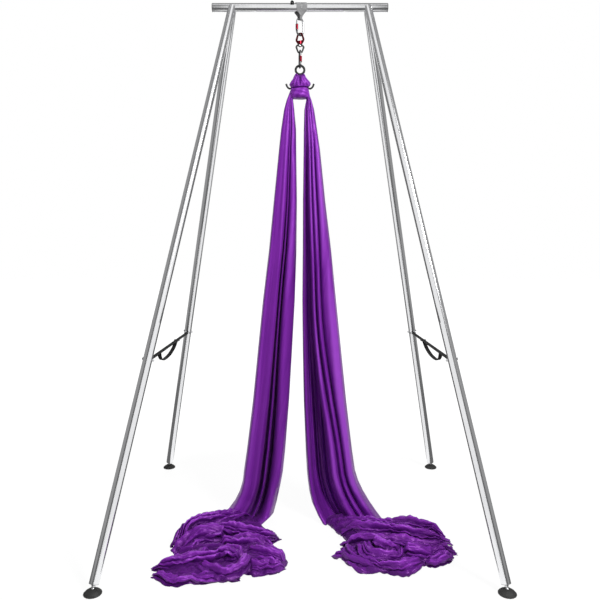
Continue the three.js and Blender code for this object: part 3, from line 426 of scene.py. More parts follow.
silkLook = {
    # Painted shade: the colour in valleys, creases and hollows
    "valley": (0.028, 0.0, 0.07, 1),
    "deep": (0.13, 0.008, 0.27, 1),
    "bright": (0.22, 0.022, 0.39, 1),
    # Painted highlight on the ridges of the folds
    "ridge": (0.34, 0.065, 0.58, 1),
    # Painted sheen: the colour that grazing angles turn the cloth towards
    "edge": (0.42, 0.09, 0.58, 1),
    "sheenTint": (0.75, 0.3, 0.95, 1),
    "shineTint": (0.78, 0.26, 1, 1),
    "glint": 0.16,          # how much of the painted sheen colour shows at grazing angles
    "cloud": 5,
    "knit": 1400,
    "streakHeight": 0.0014,
    "knitHeight": 0.0002,
    "wander": 0.35,         # how far a crease strays from straight
}


def silkFinish(name, threads, creases, crease):
    # Satin knit: fine streaks along the threads, painted shade in valleys and hollows, painted highlight on
    # ridges, painted sheen at grazing angles, and sharp creases where it lies crumpled
    look = silkLook
    material, tree, shader, place = startMaterial(
        name, Roughness=0.4, Sheen_Weight=0.12, Sheen_Roughness=0.35, Sheen_Tint=look["sheenTint"],
        Specular_Tint=look["shineTint"], Specular_IOR_Level=0.75)
    long = addNode(tree, "ShaderNodeMapping", {"Vector": place["UV"], "Scale": threads})
    streaks = noiseTexture(tree, long.outputs[0], 1, 3)
    cloud = noiseTexture(tree, place["Object"], look["cloud"], 3)
    facing = addNode(tree, "ShaderNodeLayerWeight", {"Blend": 0.35})
    tone = plus(tree, times(tree, span(tree, streaks, 0.34, 0.66, 0, 1), 0.5), times(tree, cloud, 0.5))
    body = mixColours(tree, tone, look["deep"], look["bright"])
    foldShadeMask = addNode(tree, "ShaderNodeAttribute", attribute_name="fold").outputs["Fac"]   # painted shade mask: low in valleys and hollows, 1 on a ridge
    body = mixColours(tree, span(tree, foldShadeMask, 0, 0.85, 0, 1), look["valley"], body)
    body = mixColours(tree, span(tree, foldShadeMask, 0.8, 1, 0, 0.85), body, look["ridge"])
    # Painted sheen: the edge colour mixed in more where the surface turns away from the view
    glint = times(tree, facing.outputs["Facing"], look["glint"])
    tree.links.new(mixColours(tree, glint, body, look["edge"]), shader.inputs["Base Color"])
    crumpled = addNode(tree, "ShaderNodeMapping", {"Vector": place["UV"], "Scale": creases}).outputs[0]
    wander = addNode(tree, "ShaderNodeTexNoise", {"Vector": crumpled, "Scale": 1.3, "Detail": 2})
    bent = mixColours(tree, look["wander"], crumpled, wander.outputs["Color"], "ADD")
    facets = addNode(tree, "ShaderNodeTexVoronoi", {"Vector": bent, "Scale": 1}, feature="DISTANCE_TO_EDGE")
    knit = noiseTexture(tree, place["Object"], look["knit"], 2)
    height = plus(tree, times(tree, streaks, look["streakHeight"]), times(tree, knit, look["knitHeight"]))
    folding = times(tree, maths(tree, "MINIMUM", facets.outputs["Distance"], 0.3), crease)
    addBump(tree, shader, plus(tree, height, folding), 1.0)
    return material


purpleSilk = silkFinish("purpleSilk", (70, 1.2, 1), (14, 1.6, 1), 0.004)
heapSilk = silkFinish("heapSilk", (10, 80, 1), (11, 26, 1), 0.008)

print("tubes and hardware")

shellSizes = {"weld": 0.00002, "sharp": math.radians(32)}   # edges that turn more stay sharp


def smoothCopy(node, material):
    # The CAD node's own shape with its facets shaded as the round surface they stand for
    source = nodes[node]
    mesh = source.data.copy()
    build = bmesh.new()
    build.from_mesh(mesh)
    bmesh.ops.remove_doubles(build, verts=build.verts, dist=shellSizes["weld"])
    for face in build.faces:
        face.smooth = True
    for edge in build.edges:
        edge.smooth = len(edge.link_faces) == 2 and edge.calc_face_angle(0) < shellSizes["sharp"]
    build.to_mesh(mesh)
    build.free()
    mesh.name = node + "_shell"
    mesh.materials.clear()
    mesh.materials.append(material)
    piece = bpy.data.objects.new(node + "_shell", mesh)
    scene.collection.objects.link(piece)
    standIn(piece, node, source["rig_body"])


softNodes = {"silk_knot", "silk_left", "silk_right", "sling", "sling_keeper", "side_strap_left",
             "side_strap_right"}
for name, node in sorted(nodes.items()):
    if name not in softNodes:
        slot = node.data.materials[0].name
        smoothCopy(name, finishes[slot])

print("silk tails")

noise.seed_set(3)   # the same folds at every run


def columnsAt(table, heights):
    # The table's further columns at these heights; its first column is the height
    places, *columns = np.array(sorted(table)).T
    return [np.interp(heights, places, column) for column in columns]


def curveThrough(points, count):
    # Evenly spread points on a smooth line through these points
    points = np.asarray(points, float)
    ends = np.vstack([2 * points[0] - points[1], points, 2 * points[-1] - points[-2]])
    steps = 12
    line = []
    for i in range(len(points) - 1):
        a, b, c, d = ends[i:i + 4]
        t = np.arange(steps)[:, None] / steps
        line.append(0.5 * (2 * b + (c - a) * t + (2 * a - 5 * b + 4 * c - d) * t ** 2
                           + (3 * b - a - 3 * c + d) * t ** 3))
    line = np.vstack(line + [points[-1:]])
    length = np.concatenate([[0], np.cumsum(np.linalg.norm(np.diff(line, axis=0), axis=1))])
    even = np.linspace(0, length[-1], count)
    return np.stack([np.interp(even, length, line[:, k]) for k in range(line.shape[1])], axis=1)


# Height, then the left tail's edges and the right tail's edges across the photograph
tailEdges = [
    (2.462, -0.05, -0.028, 0.026, 0.043), (2.446, -0.057, -0.032, 0.03, 0.049),
    (2.41, -0.071, -0.038, 0.034, 0.06), (2.396, -0.077, -0.04, 0.036, 0.066),
    (2.339, -0.092, -0.033, 0.025, 0.081), (2.224, -0.109, -0.023, 0.022, 0.098),
    (2.109, -0.121, -0.022, 0.021, 0.115), (1.821, -0.15, -0.018, 0.017, 0.144),
    (1.533, -0.178, -0.021, 0.016, 0.178), (1.246, -0.213, -0.03, 0.013, 0.207),
    (0.958, -0.242, -0.046, 0.016, 0.236), (0.67, -0.27, -0.063, 0.022, 0.265),
    (0.382, -0.305, -0.086, 0.034, 0.299), (0.267, -0.322, -0.098, 0.04, 0.316),
    (0.21, -0.328, -0.109, 0.046, 0.334), (0.152, -0.345, -0.121, 0.054, 0.362),
    (0.095, -0.374, -0.134, 0.068, 0.397), (0.037, -0.42, -0.15, 0.096, 0.44),
    (0.002, -0.45, -0.2, 0.12, 0.47),
]
# Half depth of the tails, and how far their foot sweeps forward into the heap
tailDepths = [(2.446, 0.02, 0), (2.3, 0.026, 0), (1.8, 0.044, 0), (1.2, 0.062, 0), (0.6, 0.078, 0),
              (0.25, 0.084, 0.004), (0.12, 0.082, 0.018), (0.05, 0.076, 0.048), (0.002, 0.07, 0.09)]
# Front folds between the left edge and the right one: share across and share of the half depth
frontFolds = {"left": {
    2.446: [(0.06, 0.4), (0.18, 0.75), (0.34, 0.9), (0.5, 0.85), (0.56, 0.6), (0.6, 0.75), (0.64, 0.85),
        (0.69, 0.7), (0.74, 0.85), (0.82, 0.95), (0.91, 0.7), (0.98, 0.35)],
    1.9: [(0.05, 0.45), (0.16, 0.7), (0.34, 0.95), (0.46, 0.85), (0.56, 0.3), (0.6, 0.7), (0.63, 0.75),
        (0.67, 0.2), (0.72, 0.8), (0.8, 0.98), (0.9, 0.85), (0.98, 0.4)],
    1.2: [(0.05, 0.45), (0.17, 0.66), (0.35, 0.95), (0.44, 0.75), (0.485, -0.2), (0.52, 0.6), (0.55, 0.62),
        (0.59, -0.3), (0.64, 0.65), (0.73, 0.95), (0.88, 0.85), (0.97, 0.4)],
    0.3: [(0.05, 0.45), (0.18, 0.7), (0.34, 0.95), (0.42, 0.6), (0.48, -0.4), (0.53, 0.55), (0.57, 0.58),
        (0.65, -0.5), (0.71, 0.55), (0.78, 0.92), (0.9, 0.85), (0.97, 0.4)],
    0.002: [(0.06, 0.45), (0.2, 0.7), (0.34, 0.9), (0.42, 0.5), (0.5, -0.1), (0.56, 0.55), (0.6, 0.6),
        (0.66, -0.2), (0.73, 0.55), (0.8, 0.9), (0.9, 0.8), (0.97, 0.4)],
}, "right": {
    2.446: [(0.04, 0.3), (0.09, 0.4), (0.15, 0.35), (0.22, 0.4), (0.28, 0.6), (0.34, 0.85), (0.4, 0.9),
        (0.46, 0.6), (0.54, 0.9), (0.61, 0.85), (0.67, 0.6), (0.75, 0.9), (0.84, 0.85), (0.92, 0.6),
        (0.98, 0.3)],
    1.9: [(0.03, 0.4), (0.07, 0.45), (0.12, 0.1), (0.19, 0), (0.24, 0.3), (0.29, 0.75), (0.36, 0.9),
        (0.42, 0.5), (0.5, 0.9), (0.57, 0.85), (0.63, 0.45), (0.7, 0.9), (0.82, 1), (0.92, 0.75),
        (0.98, 0.35)],
    1.2: [(0.02, 0.45), (0.06, 0.5), (0.1, -0.1), (0.19, -0.4), (0.27, -0.1), (0.31, 0.7), (0.36, 0.75),
        (0.4, 0.2), (0.46, 0.85), (0.52, 0.8), (0.56, 0.35), (0.63, 0.85), (0.8, 1), (0.92, 0.75),
        (0.98, 0.35)],
    0.3: [(0.03, 0.55), (0.08, 0.6), (0.13, 0), (0.28, -0.6), (0.44, -0.45), (0.5, 0.85), (0.59, 1),
        (0.66, 0.45), (0.7, 0.8), (0.75, 0.75), (0.78, 0.4), (0.83, 0.8), (0.9, 0.85), (0.95, 0.6),
        (0.98, 0.3)],
    0.002: [(0.03, 0.5), (0.08, 0.6), (0.13, 0.2), (0.28, -0.2), (0.44, -0.2), (0.52, 0.7), (0.6, 0.9),
        (0.66, 0.4), (0.7, 0.7), (0.75, 0.7), (0.78, 0.4), (0.83, 0.7), (0.9, 0.8), (0.95, 0.6),
        (0.98, 0.3)],
}}
tailLook = {
    "parts": [(2.462, 2.2, 29), (2.2, 0.3, 109), (0.3, 0.0022, 51)],   # rows from one height to the next
    "columns": 220, "backPleats": 11, "wall": 0.0008,
    "drift": 0.012,                      # how far the back's pleats wander
    "backDepths": (-1.0, -0.12),         # shares of the half depth at a pleat's top and bottom
    "ripple": 0.003, "ripples": (60, 0.6),     # fine waves: height, then waves round the tail and per metre
    "sway": 0.017, "sways": (24, 0.22),        # broad waves in the same way
    "swayDepth": 0.06,                         # half depth of a tail that sways this much
    "seeds": {"left": 3.7, "right": 9.1},
}
# Painted shade of the tails' cloth: how light it is at the least and its further share by depth, then in
# pockets and at the edges
tailShades = {
    "front": (0.34, 0.66), "back": (0.55, 0.4), "edge": 0.4, "edgeWidth": 0.09, "ripple": 26,
    "pocket": 0.6, "pocketWidth": 0.42, "pocketDepths": (-0.3, 0.1),
}


def tailSection(side, height, low, high, depth, sweep):
    # One level's line of cloth: the front folds, then accordion pleats along the back
    look = tailLook
    stations = sorted(frontFolds[side])
    above = min((s for s in stations if s >= height), default=stations[-1])
    below = max((s for s in stations if s <= height), default=stations[0])
    share = 0 if above == below else (height - below) / (above - below)
    share = share * share * (3 - 2 * share)
    lower, upper = (np.array([(0, 0), *frontFolds[side][station], (1, 0)]) for station in (below, above))
    front = lower * (1 - share) + upper * share
    across = np.linspace(1, 0, look["backPleats"] * 2 + 1)[1:-1]
    pleat = np.arange(len(across))
    behind = np.where(pleat % 2 == 0, *look["backDepths"]) * (1 - 0.45 * (2 * across - 1) ** 2)
    back = np.stack([across + look["drift"] * np.sin(pleat * 2.4 + height * 1.7),
                     behind * (0.9 + 0.1 * np.sin(pleat * 1.3 + height))], axis=1)
    line = np.vstack([front, back])
    places = np.stack([low + (high - low) * line[:, 0], -depth * line[:, 1]], axis=1)
    x, y = curveThrough(places, look["columns"]).T
    # Painted shade: cloth further in between the folds is darker, and so are the pockets and the tail's edges
    least, more = (np.where(y < 0, *pair) for pair in zip(tailShades["front"], tailShades["back"]))
    folds = np.clip(least + more * np.abs(y) / depth, 0, 1)
    inward = (x - low) / (high - low)
    front, behind = (depth * share for share in tailShades["pocketDepths"])
    pocket = (y > front) & (y < behind) & (np.abs(inward - 0.5) < tailShades["pocketWidth"])
    folds = np.where(pocket, folds * tailShades["pocket"], folds)
    edge = np.clip(np.minimum(inward, 1 - inward) / tailShades["edgeWidth"], 0, 1)
    folds *= tailShades["edge"] + (1 - tailShades["edge"]) * edge
    return x, y - sweep * np.clip(0.5 - y / (2 * depth), 0, 1), folds


def silkTail(side):
    look = tailLook
    parts = look["parts"]
    heights = np.concatenate([np.linspace(high, low, count + 1)[:-1] for high, low, count in parts]
                             + [[parts[-1][1]]])
    lows, highs = columnsAt(tailEdges, heights)[0 if side == "left" else 2:][:2]
    depths, sweeps = columnsAt(tailDepths, heights)
    seed = look["seeds"][side]
    fine, broad = look["ripples"], look["sways"]
    points, uvs, folds = [], [], []
    for height, low, high, depth, sweep in zip(heights, lows, highs, depths, sweeps):
        x, y, fold = tailSection(side, height, low, high, depth, sweep)
        step = np.concatenate([[0], np.cumsum(np.hypot(np.diff(x), np.diff(y)))])
        sway = look["sway"] * depth / look["swayDepth"]
        ripple = np.array([
            look["ripple"] * noise.noise(Vector((share * fine[0], height * fine[1], seed)))
            + sway * noise.noise(Vector((share * broad[0], height * broad[1], seed + 5)))
            for share in step / step[-1]])
        # Painted shade follows the ripples: cloth pushed back is darker
        folds += list(np.clip(fold - tailShades["ripple"] * ripple, 0, 1))
        points += [(px, py + r, height) for px, py, r in zip(x, y, ripple)]
        uvs += [(along, height) for along in step]
    faces = gridFaces(len(heights), look["columns"])
    return meshPiece(side + "_tail", points, faces, uvs=uvs, folds=folds)


def solidify(piece, wall):
    modifier = piece.modifiers.new("wall", "SOLIDIFY")
    modifier.thickness = wall
    modifier.offset = 0
    modifier.use_rim = True


tails = {}
for side in ("left", "right"):
    tail = silkTail(side)
    tail.data.materials.append(purpleSilk)
    solidify(tail, tailLook["wall"])
    tails[side] = tail

print("silk heaps")

# Each heap's outline on the floor, and its runs of gathered cloth: middle line with height, half width
heapPlans = {"left": {
    "outline": [(-0.68, -0.61), (-0.65, -0.67), (-0.56, -0.71), (-0.46, -0.68), (-0.29, -0.66),
        (-0.2, -0.62), (-0.09, -0.59), (-0.07, -0.52), (-0.13, -0.43), (-0.17, -0.33), (-0.18, -0.24),
        (-0.22, -0.1), (-0.26, 0.02), (-0.33, 0.05), (-0.42, 0.01), (-0.5, -0.1), (-0.58, -0.22),
        (-0.61, -0.36), (-0.58, -0.49)],
    "runs": [
        ([(-0.3, -0.05, 0.07), (-0.426, -0.172, 0.1), (-0.515, -0.223, 0.105), (-0.59, -0.298, 0.098),
          (-0.63, -0.38, 0.06)], 0.058),
        ([(-0.384, -0.342, 0.095), (-0.48, -0.35, 0.095), (-0.55, -0.38, 0.075), (-0.6, -0.42, 0.05),
          (-0.63, -0.44, 0.025)], 0.06),
        ([(-0.46, -0.318, 0.1), (-0.344, -0.283, 0.085), (-0.199, -0.308, 0.062),
          (-0.11, -0.262, 0.032)], 0.05),
        ([(-0.423, -0.431, 0.08), (-0.28, -0.398, 0.08), (-0.19, -0.405, 0.065),
          (-0.13, -0.42, 0.04)], 0.055),
        ([(-0.7, -0.6, 0.035), (-0.585, -0.585, 0.055), (-0.452, -0.56, 0.07),
          (-0.363, -0.525, 0.08)], 0.045),
        ([(-0.68, -0.655, 0.03), (-0.57, -0.7, 0.028), (-0.44, -0.68, 0.028),
          (-0.28, -0.665, 0.024)], 0.034),
        ([(-0.257, -0.473, 0.07), (-0.16, -0.51, 0.06), (-0.075, -0.53, 0.035)], 0.06),
        ([(-0.25, -0.6, 0.045), (-0.16, -0.6, 0.04), (-0.085, -0.56, 0.03)], 0.042),
        ([(-0.44, -0.5, 0.088), (-0.478, -0.57, 0.07), (-0.43, -0.64, 0.056), (-0.336, -0.662, 0.054),
          (-0.265, -0.62, 0.066), (-0.26, -0.55, 0.08)], 0.032),
        ([(-0.418, -0.55, 0.075), (-0.356, -0.54, 0.092), (-0.286, -0.565, 0.078)], 0.042),
    ],
    "seed": 4.0,
}, "right": {
    "outline": [(0.24, -0.3), (0.23, -0.42), (0.22, -0.5), (0.26, -0.57), (0.33, -0.6), (0.42, -0.62),
        (0.52, -0.61), (0.58, -0.56), (0.66, -0.55), (0.73, -0.49), (0.76, -0.42), (0.75, -0.33),
        (0.7, -0.26), (0.55, -0.2), (0.42, -0.1), (0.28, 0.0), (0.16, 0.0), (0.14, -0.08), (0.19, -0.2)],
    "runs": [
        ([(0.16, -0.09, 0.012), (0.23, -0.12, 0.028), (0.339, -0.17, 0.058), (0.496, -0.225, 0.088),
          (0.64, -0.275, 0.095), (0.765, -0.305, 0.085)], 0.05),
        ([(0.225, -0.26, 0.06), (0.328, -0.284, 0.085), (0.508, -0.33, 0.092), (0.669, -0.355, 0.082),
          (0.775, -0.36, 0.055)], 0.05),
        ([(0.215, -0.36, 0.05), (0.3, -0.375, 0.075), (0.442, -0.41, 0.085), (0.601, -0.43, 0.075),
          (0.78, -0.42, 0.04)], 0.05),
        ([(0.165, -0.472, 0.018), (0.22, -0.49, 0.03), (0.3, -0.51, 0.05)], 0.022),
        ([(0.235, -0.53, 0.03), (0.3, -0.575, 0.03), (0.37, -0.59, 0.03)], 0.033),
        ([(0.51, -0.49, 0.08), (0.602, -0.5, 0.065), (0.74, -0.47, 0.04)], 0.05),
        ([(0.6, -0.53, 0.045), (0.66, -0.54, 0.04), (0.735, -0.5, 0.03)], 0.038),
        ([(0.24, -0.42, 0.08), (0.245, -0.5, 0.06), (0.31, -0.57, 0.05), (0.42, -0.61, 0.046),
          (0.52, -0.595, 0.05), (0.565, -0.545, 0.055)], 0.04),
        ([(0.3, -0.45, 0.09), (0.335, -0.53, 0.075), (0.41, -0.56, 0.066), (0.48, -0.54, 0.066),
          (0.52, -0.49, 0.08)], 0.036),
        ([(0.365, -0.45, 0.096), (0.43, -0.485, 0.086), (0.495, -0.51, 0.07)], 0.033),
    ],
    "seed": 11.0,
}}
heapLook = {
    "bedHeight": 0.05, "bedLift": 0.003, "bedRings": 40, "bedSides": 120,
    "bedThreads": 1.6,            # streaks on the lowest layers against those on the runs
    "runRows": 72, "runColumns": 60,
    "wall": 0.0008,
    "pleat": 0.036,               # how deep the broad pleats of a run are
    "crease": 0.012,              # the narrower hollows on them
    "broad": 40, "narrow": 105,   # pleats per metre across a run
    "drift": 0.02,                # how far a pleat wanders across
    "fullPleats": 0.05,           # half width of a run from which its pleats are full
    "jagged": 0.014,              # how unevenly a run ends
    "taper": (0.55, 2.2),         # its width at an end, and how fast it grows from there
    "unevenWidth": 0.25,
    "endRise": (0.35, 6),         # its height in the same way
    "arch": (1.06, -0.03),        # half turns of its arch, and where it starts under the cloth
    "bends": 11, "bend": 0.018, "lift": 0.01,   # crumpling: bends per metre, how far sideways and up
    "hollows": 32, "hollow": 0.017,             # its hollows per metre and their depth
    "lowest": 0.0018,
    "rays": 14, "start": 0.003, "reach": 0.11, "shade": 1.7,   # light that folds take from a hollow
}


def pleating(along, across, seed):
    # Rounded folds with sharp valleys that follow the run, drift, split and fade
    look = heapLook
    across += look["drift"] * noise.noise(Vector((along * 6, across * 5, seed)))
    broad = abs(noise.noise(Vector((along * 3.2, across * look["broad"], seed + 3))))
    hollow = noise.voronoi(Vector((along * 12, across * look["narrow"], seed + 7)))[0][0]
    return min(1, broad * 2.1) ** 0.6, min(1, hollow * 1.25)


def crumple(point, seed):
    # Bends a point of a heap as pressed cloth lies, and keeps it over the floor
    look = heapLook
    x, y, z = point
    many, deep = look["bends"], look["bend"]
    push = noise.noise_vector(Vector((x * many + seed, y * many, z * many)))
    many = look["hollows"]
    hollow = noise.voronoi(Vector((x * many, y * many + seed, z * many)))[0][0] - 0.4
    rise = z + push[2] * look["lift"] + look["hollow"] * hollow
    return (x + push[0] * deep, y + push[1] * deep, max(look["lowest"], rise))


def heapBed(plan):
    # The lowest layers: one cloth over the whole outline, higher in the middle
    look = heapLook
    outline = curveThrough(plan["outline"] + plan["outline"][:1], look["bedSides"] + 1)[:-1]
    middle = outline.mean(axis=0)
    points, uvs, folds = [], [], []
    for ring in range(look["bedRings"]):
        share = 1 - ring / look["bedRings"]
        rise = look["bedHeight"] * (1 - share ** 4) ** 0.6
        for side, place in enumerate(outline):
            flat = middle + (place - middle) * share
            broad = pleating(*flat, plan["seed"])[0]
            points.append(crumple((*flat, rise * (0.6 + 0.5 * broad) + look["bedLift"]), plan["seed"]))
            uvs.append(tuple(flat * look["bedThreads"]))
            # Painted shade: darker in the pleats' valleys
            folds.append(0.5 * broad)
    faces = gridFaces(look["bedRings"], look["bedSides"], closed=True)
    last = (look["bedRings"] - 1) * look["bedSides"]
    closeRing(points, faces, uvs, folds, last, look["bedSides"], tuple(middle), 0.5)
    return points, faces, uvs, folds


def heapRun(path, halfWidth, seed, start):
    # A gathered run of cloth along its path: an arch of pleats with uneven ends
    look = heapLook
    rows, columns = look["runRows"], look["runColumns"]
    line = curveThrough(path, rows)
    ahead = np.gradient(line, axis=0)
    step = np.linalg.norm(ahead, axis=1)[:, None]
    ahead /= step
    sideways = np.stack([-ahead[:, 1], ahead[:, 0]], axis=1)
    length = float(step.sum())
    fullness = min(1, halfWidth / look["fullPleats"])
    points, uvs, folds = [], [], []
    for row in range(rows):
        share = row / (rows - 1)
        along = share * length
        close = min(share, 1 - share)   # to the nearer end
        taper, low = (min(1, least + more * close) for least, more in (look["taper"], look["endRise"]))
        wide = halfWidth * taper * (1 + look["unevenWidth"] * noise.noise(Vector((along * 9, seed, 2))))
        arch = min(line[row, 2], wide * 1.15)
        uneven = look["jagged"] * (1 - min(1, close * 7)) * (1 if share > 0.5 else -1)
        for column in range(columns):
            angle = math.pi * (look["arch"][0] * column / (columns - 1) + look["arch"][1])
            upward = max(0, math.sin(angle))
            across = halfWidth * angle
            broad, narrow = pleating(along, across, seed)
            depth = (look["pleat"] * (broad - 0.75) + look["crease"] * (narrow - 0.6)) * fullness
            reach = (wide + depth) * math.cos(angle)
            rise = (line[row, 2] - arch * (1 - upward ** 0.8) + depth * upward) * low
            x, y = line[row, :2] + sideways[row] * reach + ahead[row, :2] * uneven * (broad - 0.5)
            points.append(crumple((x, y, rise), seed))
            uvs.append((along, across))
            # Painted shade: darker in the pleats' hollows and low under each arch
            folds.append((0.3 + 0.5 * broad + 0.3 * narrow) * min(1, 0.05 + 1.5 * upward))
    return points, gridFaces(rows, columns, start=start), uvs, folds


def silkHeap(side):
    plan = heapPlans[side]
    points, faces, uvs, folds = heapBed(plan)
    for index, (path, halfWidth) in enumerate(plan["runs"]):
        more = heapRun(path, halfWidth, plan["seed"] + 1.7 * index, len(points))
        points, faces, uvs, folds = points + more[0], faces + more[1], uvs + more[2], folds + more[3]
    return meshPiece(side + "_heap", points, faces, uvs=uvs, folds=folds)


def shadeHollows(piece):
    # Darkens a point by how much of the cloth around it stands in its light
    cloth, rays = piece.data, heapLook["rays"]
    tree = BVHTree.FromPolygons([vertex.co for vertex in cloth.vertices],
                                [tuple(face.vertices) for face in cloth.polygons])
    mask = cloth.attributes["fold"].data
    golden = math.pi * (3 - math.sqrt(5))
    directions = []
    for i in range(rays):
        rise = 1 - (i + 0.5) / rays
        flat = math.sqrt(1 - rise * rise)
        directions.append(Vector((flat * math.cos(golden * i), flat * math.sin(golden * i), rise)))
    for vertex in cloth.vertices:
        start = vertex.co + vertex.normal * heapLook["start"]
        hidden = sum(tree.ray_cast(start, way, heapLook["reach"])[0] is not None for way in directions)
        mask[vertex.index].value *= (1 - hidden / rays) ** heapLook["shade"]


heaps = {}
for side in ("left", "right"):
    heap = silkHeap(side)
    shadeHollows(heap)
    heap.data.materials.append(heapSilk)
    solidify(heap, heapLook["wall"])
    heaps[side] = heap

print("silk knot")

# From the bottom up: height above the large ring's middle, left and right half width, and half depth
knotRings = [
    (-0.085, 0.046, 0.044, 0.022), (-0.081, 0.056, 0.052, 0.033), (-0.072, 0.061, 0.056, 0.041),
    (-0.058, 0.06, 0.055, 0.043), (-0.044, 0.057, 0.053, 0.043), (-0.033, 0.054, 0.05, 0.041),
    (-0.026, 0.052, 0.048, 0.037), (-0.018, 0.055, 0.051, 0.041), (-0.0055, 0.061, 0.061, 0.045),
    (0.0035, 0.058, 0.06, 0.045), (0.0125, 0.053, 0.055, 0.043), (0.0225, 0.046, 0.047, 0.039),
    (0.0325, 0.04, 0.039, 0.034), (0.0425, 0.035, 0.033, 0.027), (0.0505, 0.031, 0.029, 0.02),
    (0.058, 0.026, 0.025, 0.014), (0.061, 0.02, 0.02, 0.008),
]
knotLook = {
    "middle": 2.48842, "apex": 0.067, "sides": 170, "rows": 130, "wrinkle": 0.0009, "wrinkles": 45,
    "notch": 0.42, "cleft": 0.72,        # how deep the valley between the lobes is, and the gap at the ring
    "pleats": (26, 0.034), "creases": (61, 0.016),     # in the fan of the lobes: how many, how high
    "waist": -0.026, "waistDepth": 0.2, "waistHeight": 0.003,
    # Where each begins to grow, and over what height
    "lobes": (-0.022, 0.014), "valley": (-0.01, 0.04), "opening": (0.02, 0.04), "ring": (0.046, 0.01),
    "ringBend": 0.012,                   # how much lower the ring shows at its sides
}


def silkKnot():
    look = knotLook
    rows, sides = look["rows"], look["sides"]
    points, uvs, folds = [], [], []
    for rise, left, right, deep in curveThrough(knotRings, rows):
        upper = grown(rise, *look["lobes"])              # 1 in the two lobes, 0 in the band under them
        start, distance = look["opening"]
        spread = 0.09 + 0.3 * max(0, (rise - start) / distance)
        valley = look["notch"] * upper * (0.45 + 0.55 * grown(rise, *look["valley"]))
        for i in range(sides):
            angle = math.tau * i / sides
            across, outward = math.cos(angle), math.sin(angle)
            wide = left if across < 0 else right
            notch = valley * math.exp(-(across / spread) ** 2)
            cleft = grown(rise + look["ringBend"] * abs(across), *look["ring"])   # the ring shows here
            notch += (look["cleft"] - notch) * cleft * math.exp(-(across / 0.75) ** 6)
            lower = (rise - look["waist"] - 0.004 * across) / look["waistHeight"]
            crease = look["waistDepth"] * math.exp(-lower ** 2)          # where the lobes meet the band
            fan = math.atan2(wide * across, look["apex"] - rise)         # pleats spread from the ring
            (many, high), (more, small) = look["pleats"], look["creases"]
            lobes = high * math.sin(many * fan + 1.2 * math.sin(rise * 70))
            lobes += small * math.sin(more * fan + rise * 90)
            band = 0.014 * math.sin(rise * 260 + 3.5 * across) + 0.012 * math.sin(9 * across - rise * 90)
            pleat = (upper * lobes + (1 - upper) * band) * (0.35 + 0.65 * abs(outward))
            size = (1 - crease) * (1 + pleat)
            place = Vector((wide * across * size, deep * outward * size * (1 - notch), look["middle"] + rise))
            bend = noise.noise_vector(place * look["wrinkles"]) * look["wrinkle"]
            points.append((place.x + bend[0], -place.y + bend[1], place.z + bend[2]))
            uvs.append((angle * 0.05, rise))
            # Painted shade: lighter on the pleats, darker in the waist crease and the notch between the lobes
            folds.append(max(0.15, min(1, 0.85 + 5 * pleat - 3 * crease - 1.7 * notch)))
    faces = [tuple(reversed(face)) for face in gridFaces(rows, sides, closed=True)]
    # The end caps get painted shade too
    for first, flip in ((0, False), ((rows - 1) * sides, True)):
        closeRing(points, faces, uvs, folds, first, sides, (0, 0), 0.3, flip)
    return meshPiece("silk_wrap", points, faces, uvs=uvs, folds=folds)


knot = silkKnot()
knot.data.materials.append(purpleSilk)
faceOutward(knot)

for side in ("left", "right"):
    for piece in (tails[side], heaps[side]):
        standIn(piece, "silk_" + side, "silk")
standIn(knot, "silk_knot", "silk")

print("webbing")

# Share across and share through a webbing's section, once round from one edge
flatShares = [(1, 0), (0.985, 0.5), (0.95, 0.85), (0.9, 1)] + [(0.9 - 0.15 * i, 1) for i in range(1, 12)] \
    + [(-0.9, 1), (-0.95, 0.85), (-0.985, 0.5), (-1, 0)]
sectionShares = flatShares + [(share, -through) for share, through in reversed(flatShares[1:-1])]


def webbingBand(centres, wides, outs, halfWidths, halfThicks, closed=False, ribs=0.0, start=0):
    # A woven band along its path; ribs are lengthwise gathers, and the UV is metres across and along
    alongs = np.concatenate([[0], np.cumsum(np.linalg.norm(np.diff(centres, axis=0), axis=1))])
    full = max(halfWidths)
    points, uvs = [], []
    levels = zip(centres, wides, outs, halfWidths, halfThicks, alongs)
    for centre, wide, out, halfWidth, halfThick, along in levels:
        squeeze = 1 - halfWidth / full
        for across, through in sectionShares:
            rib = ribs * (0.35 + squeeze) * math.cos(math.pi * 4.5 * across + 0.6) * (1 - across ** 4)
            lift = through * halfThick + rib * (through != 0)
            points.append(centre + wide * across * halfWidth + out * lift)
            uvs.append((across * full, along))
    count, rows = len(sectionShares), len(centres)
    last = start + (rows - 1) * count
    faces = gridFaces(rows, count, closed=True, start=start)
    if closed:
        following = [(c + 1) % count for c in range(count)]
        faces += [(last + c, last + d, start + d, start + c) for c, d in enumerate(following)]
    else:
        faces += [tuple(start + c for c in reversed(range(count))), tuple(last + c for c in range(count))]
    return points, faces, uvs


def bandPiece(name, bands, material, body, replaced):
    points, faces, uvs = [], [], []
    for band, options in bands:
        more = webbingBand(*band, start=len(points), **options)
        points, faces, uvs = points + more[0], faces + more[1], uvs + more[2]
    piece = meshPiece(name, points, faces, uvs=uvs)
    faceOutward(piece)
    piece.data.materials.append(material)
    standIn(piece, replaced, body)


threadSizes = {"radius": 0.00035, "lift": 0.0001}   # lift: of a thread's middle over the webbing

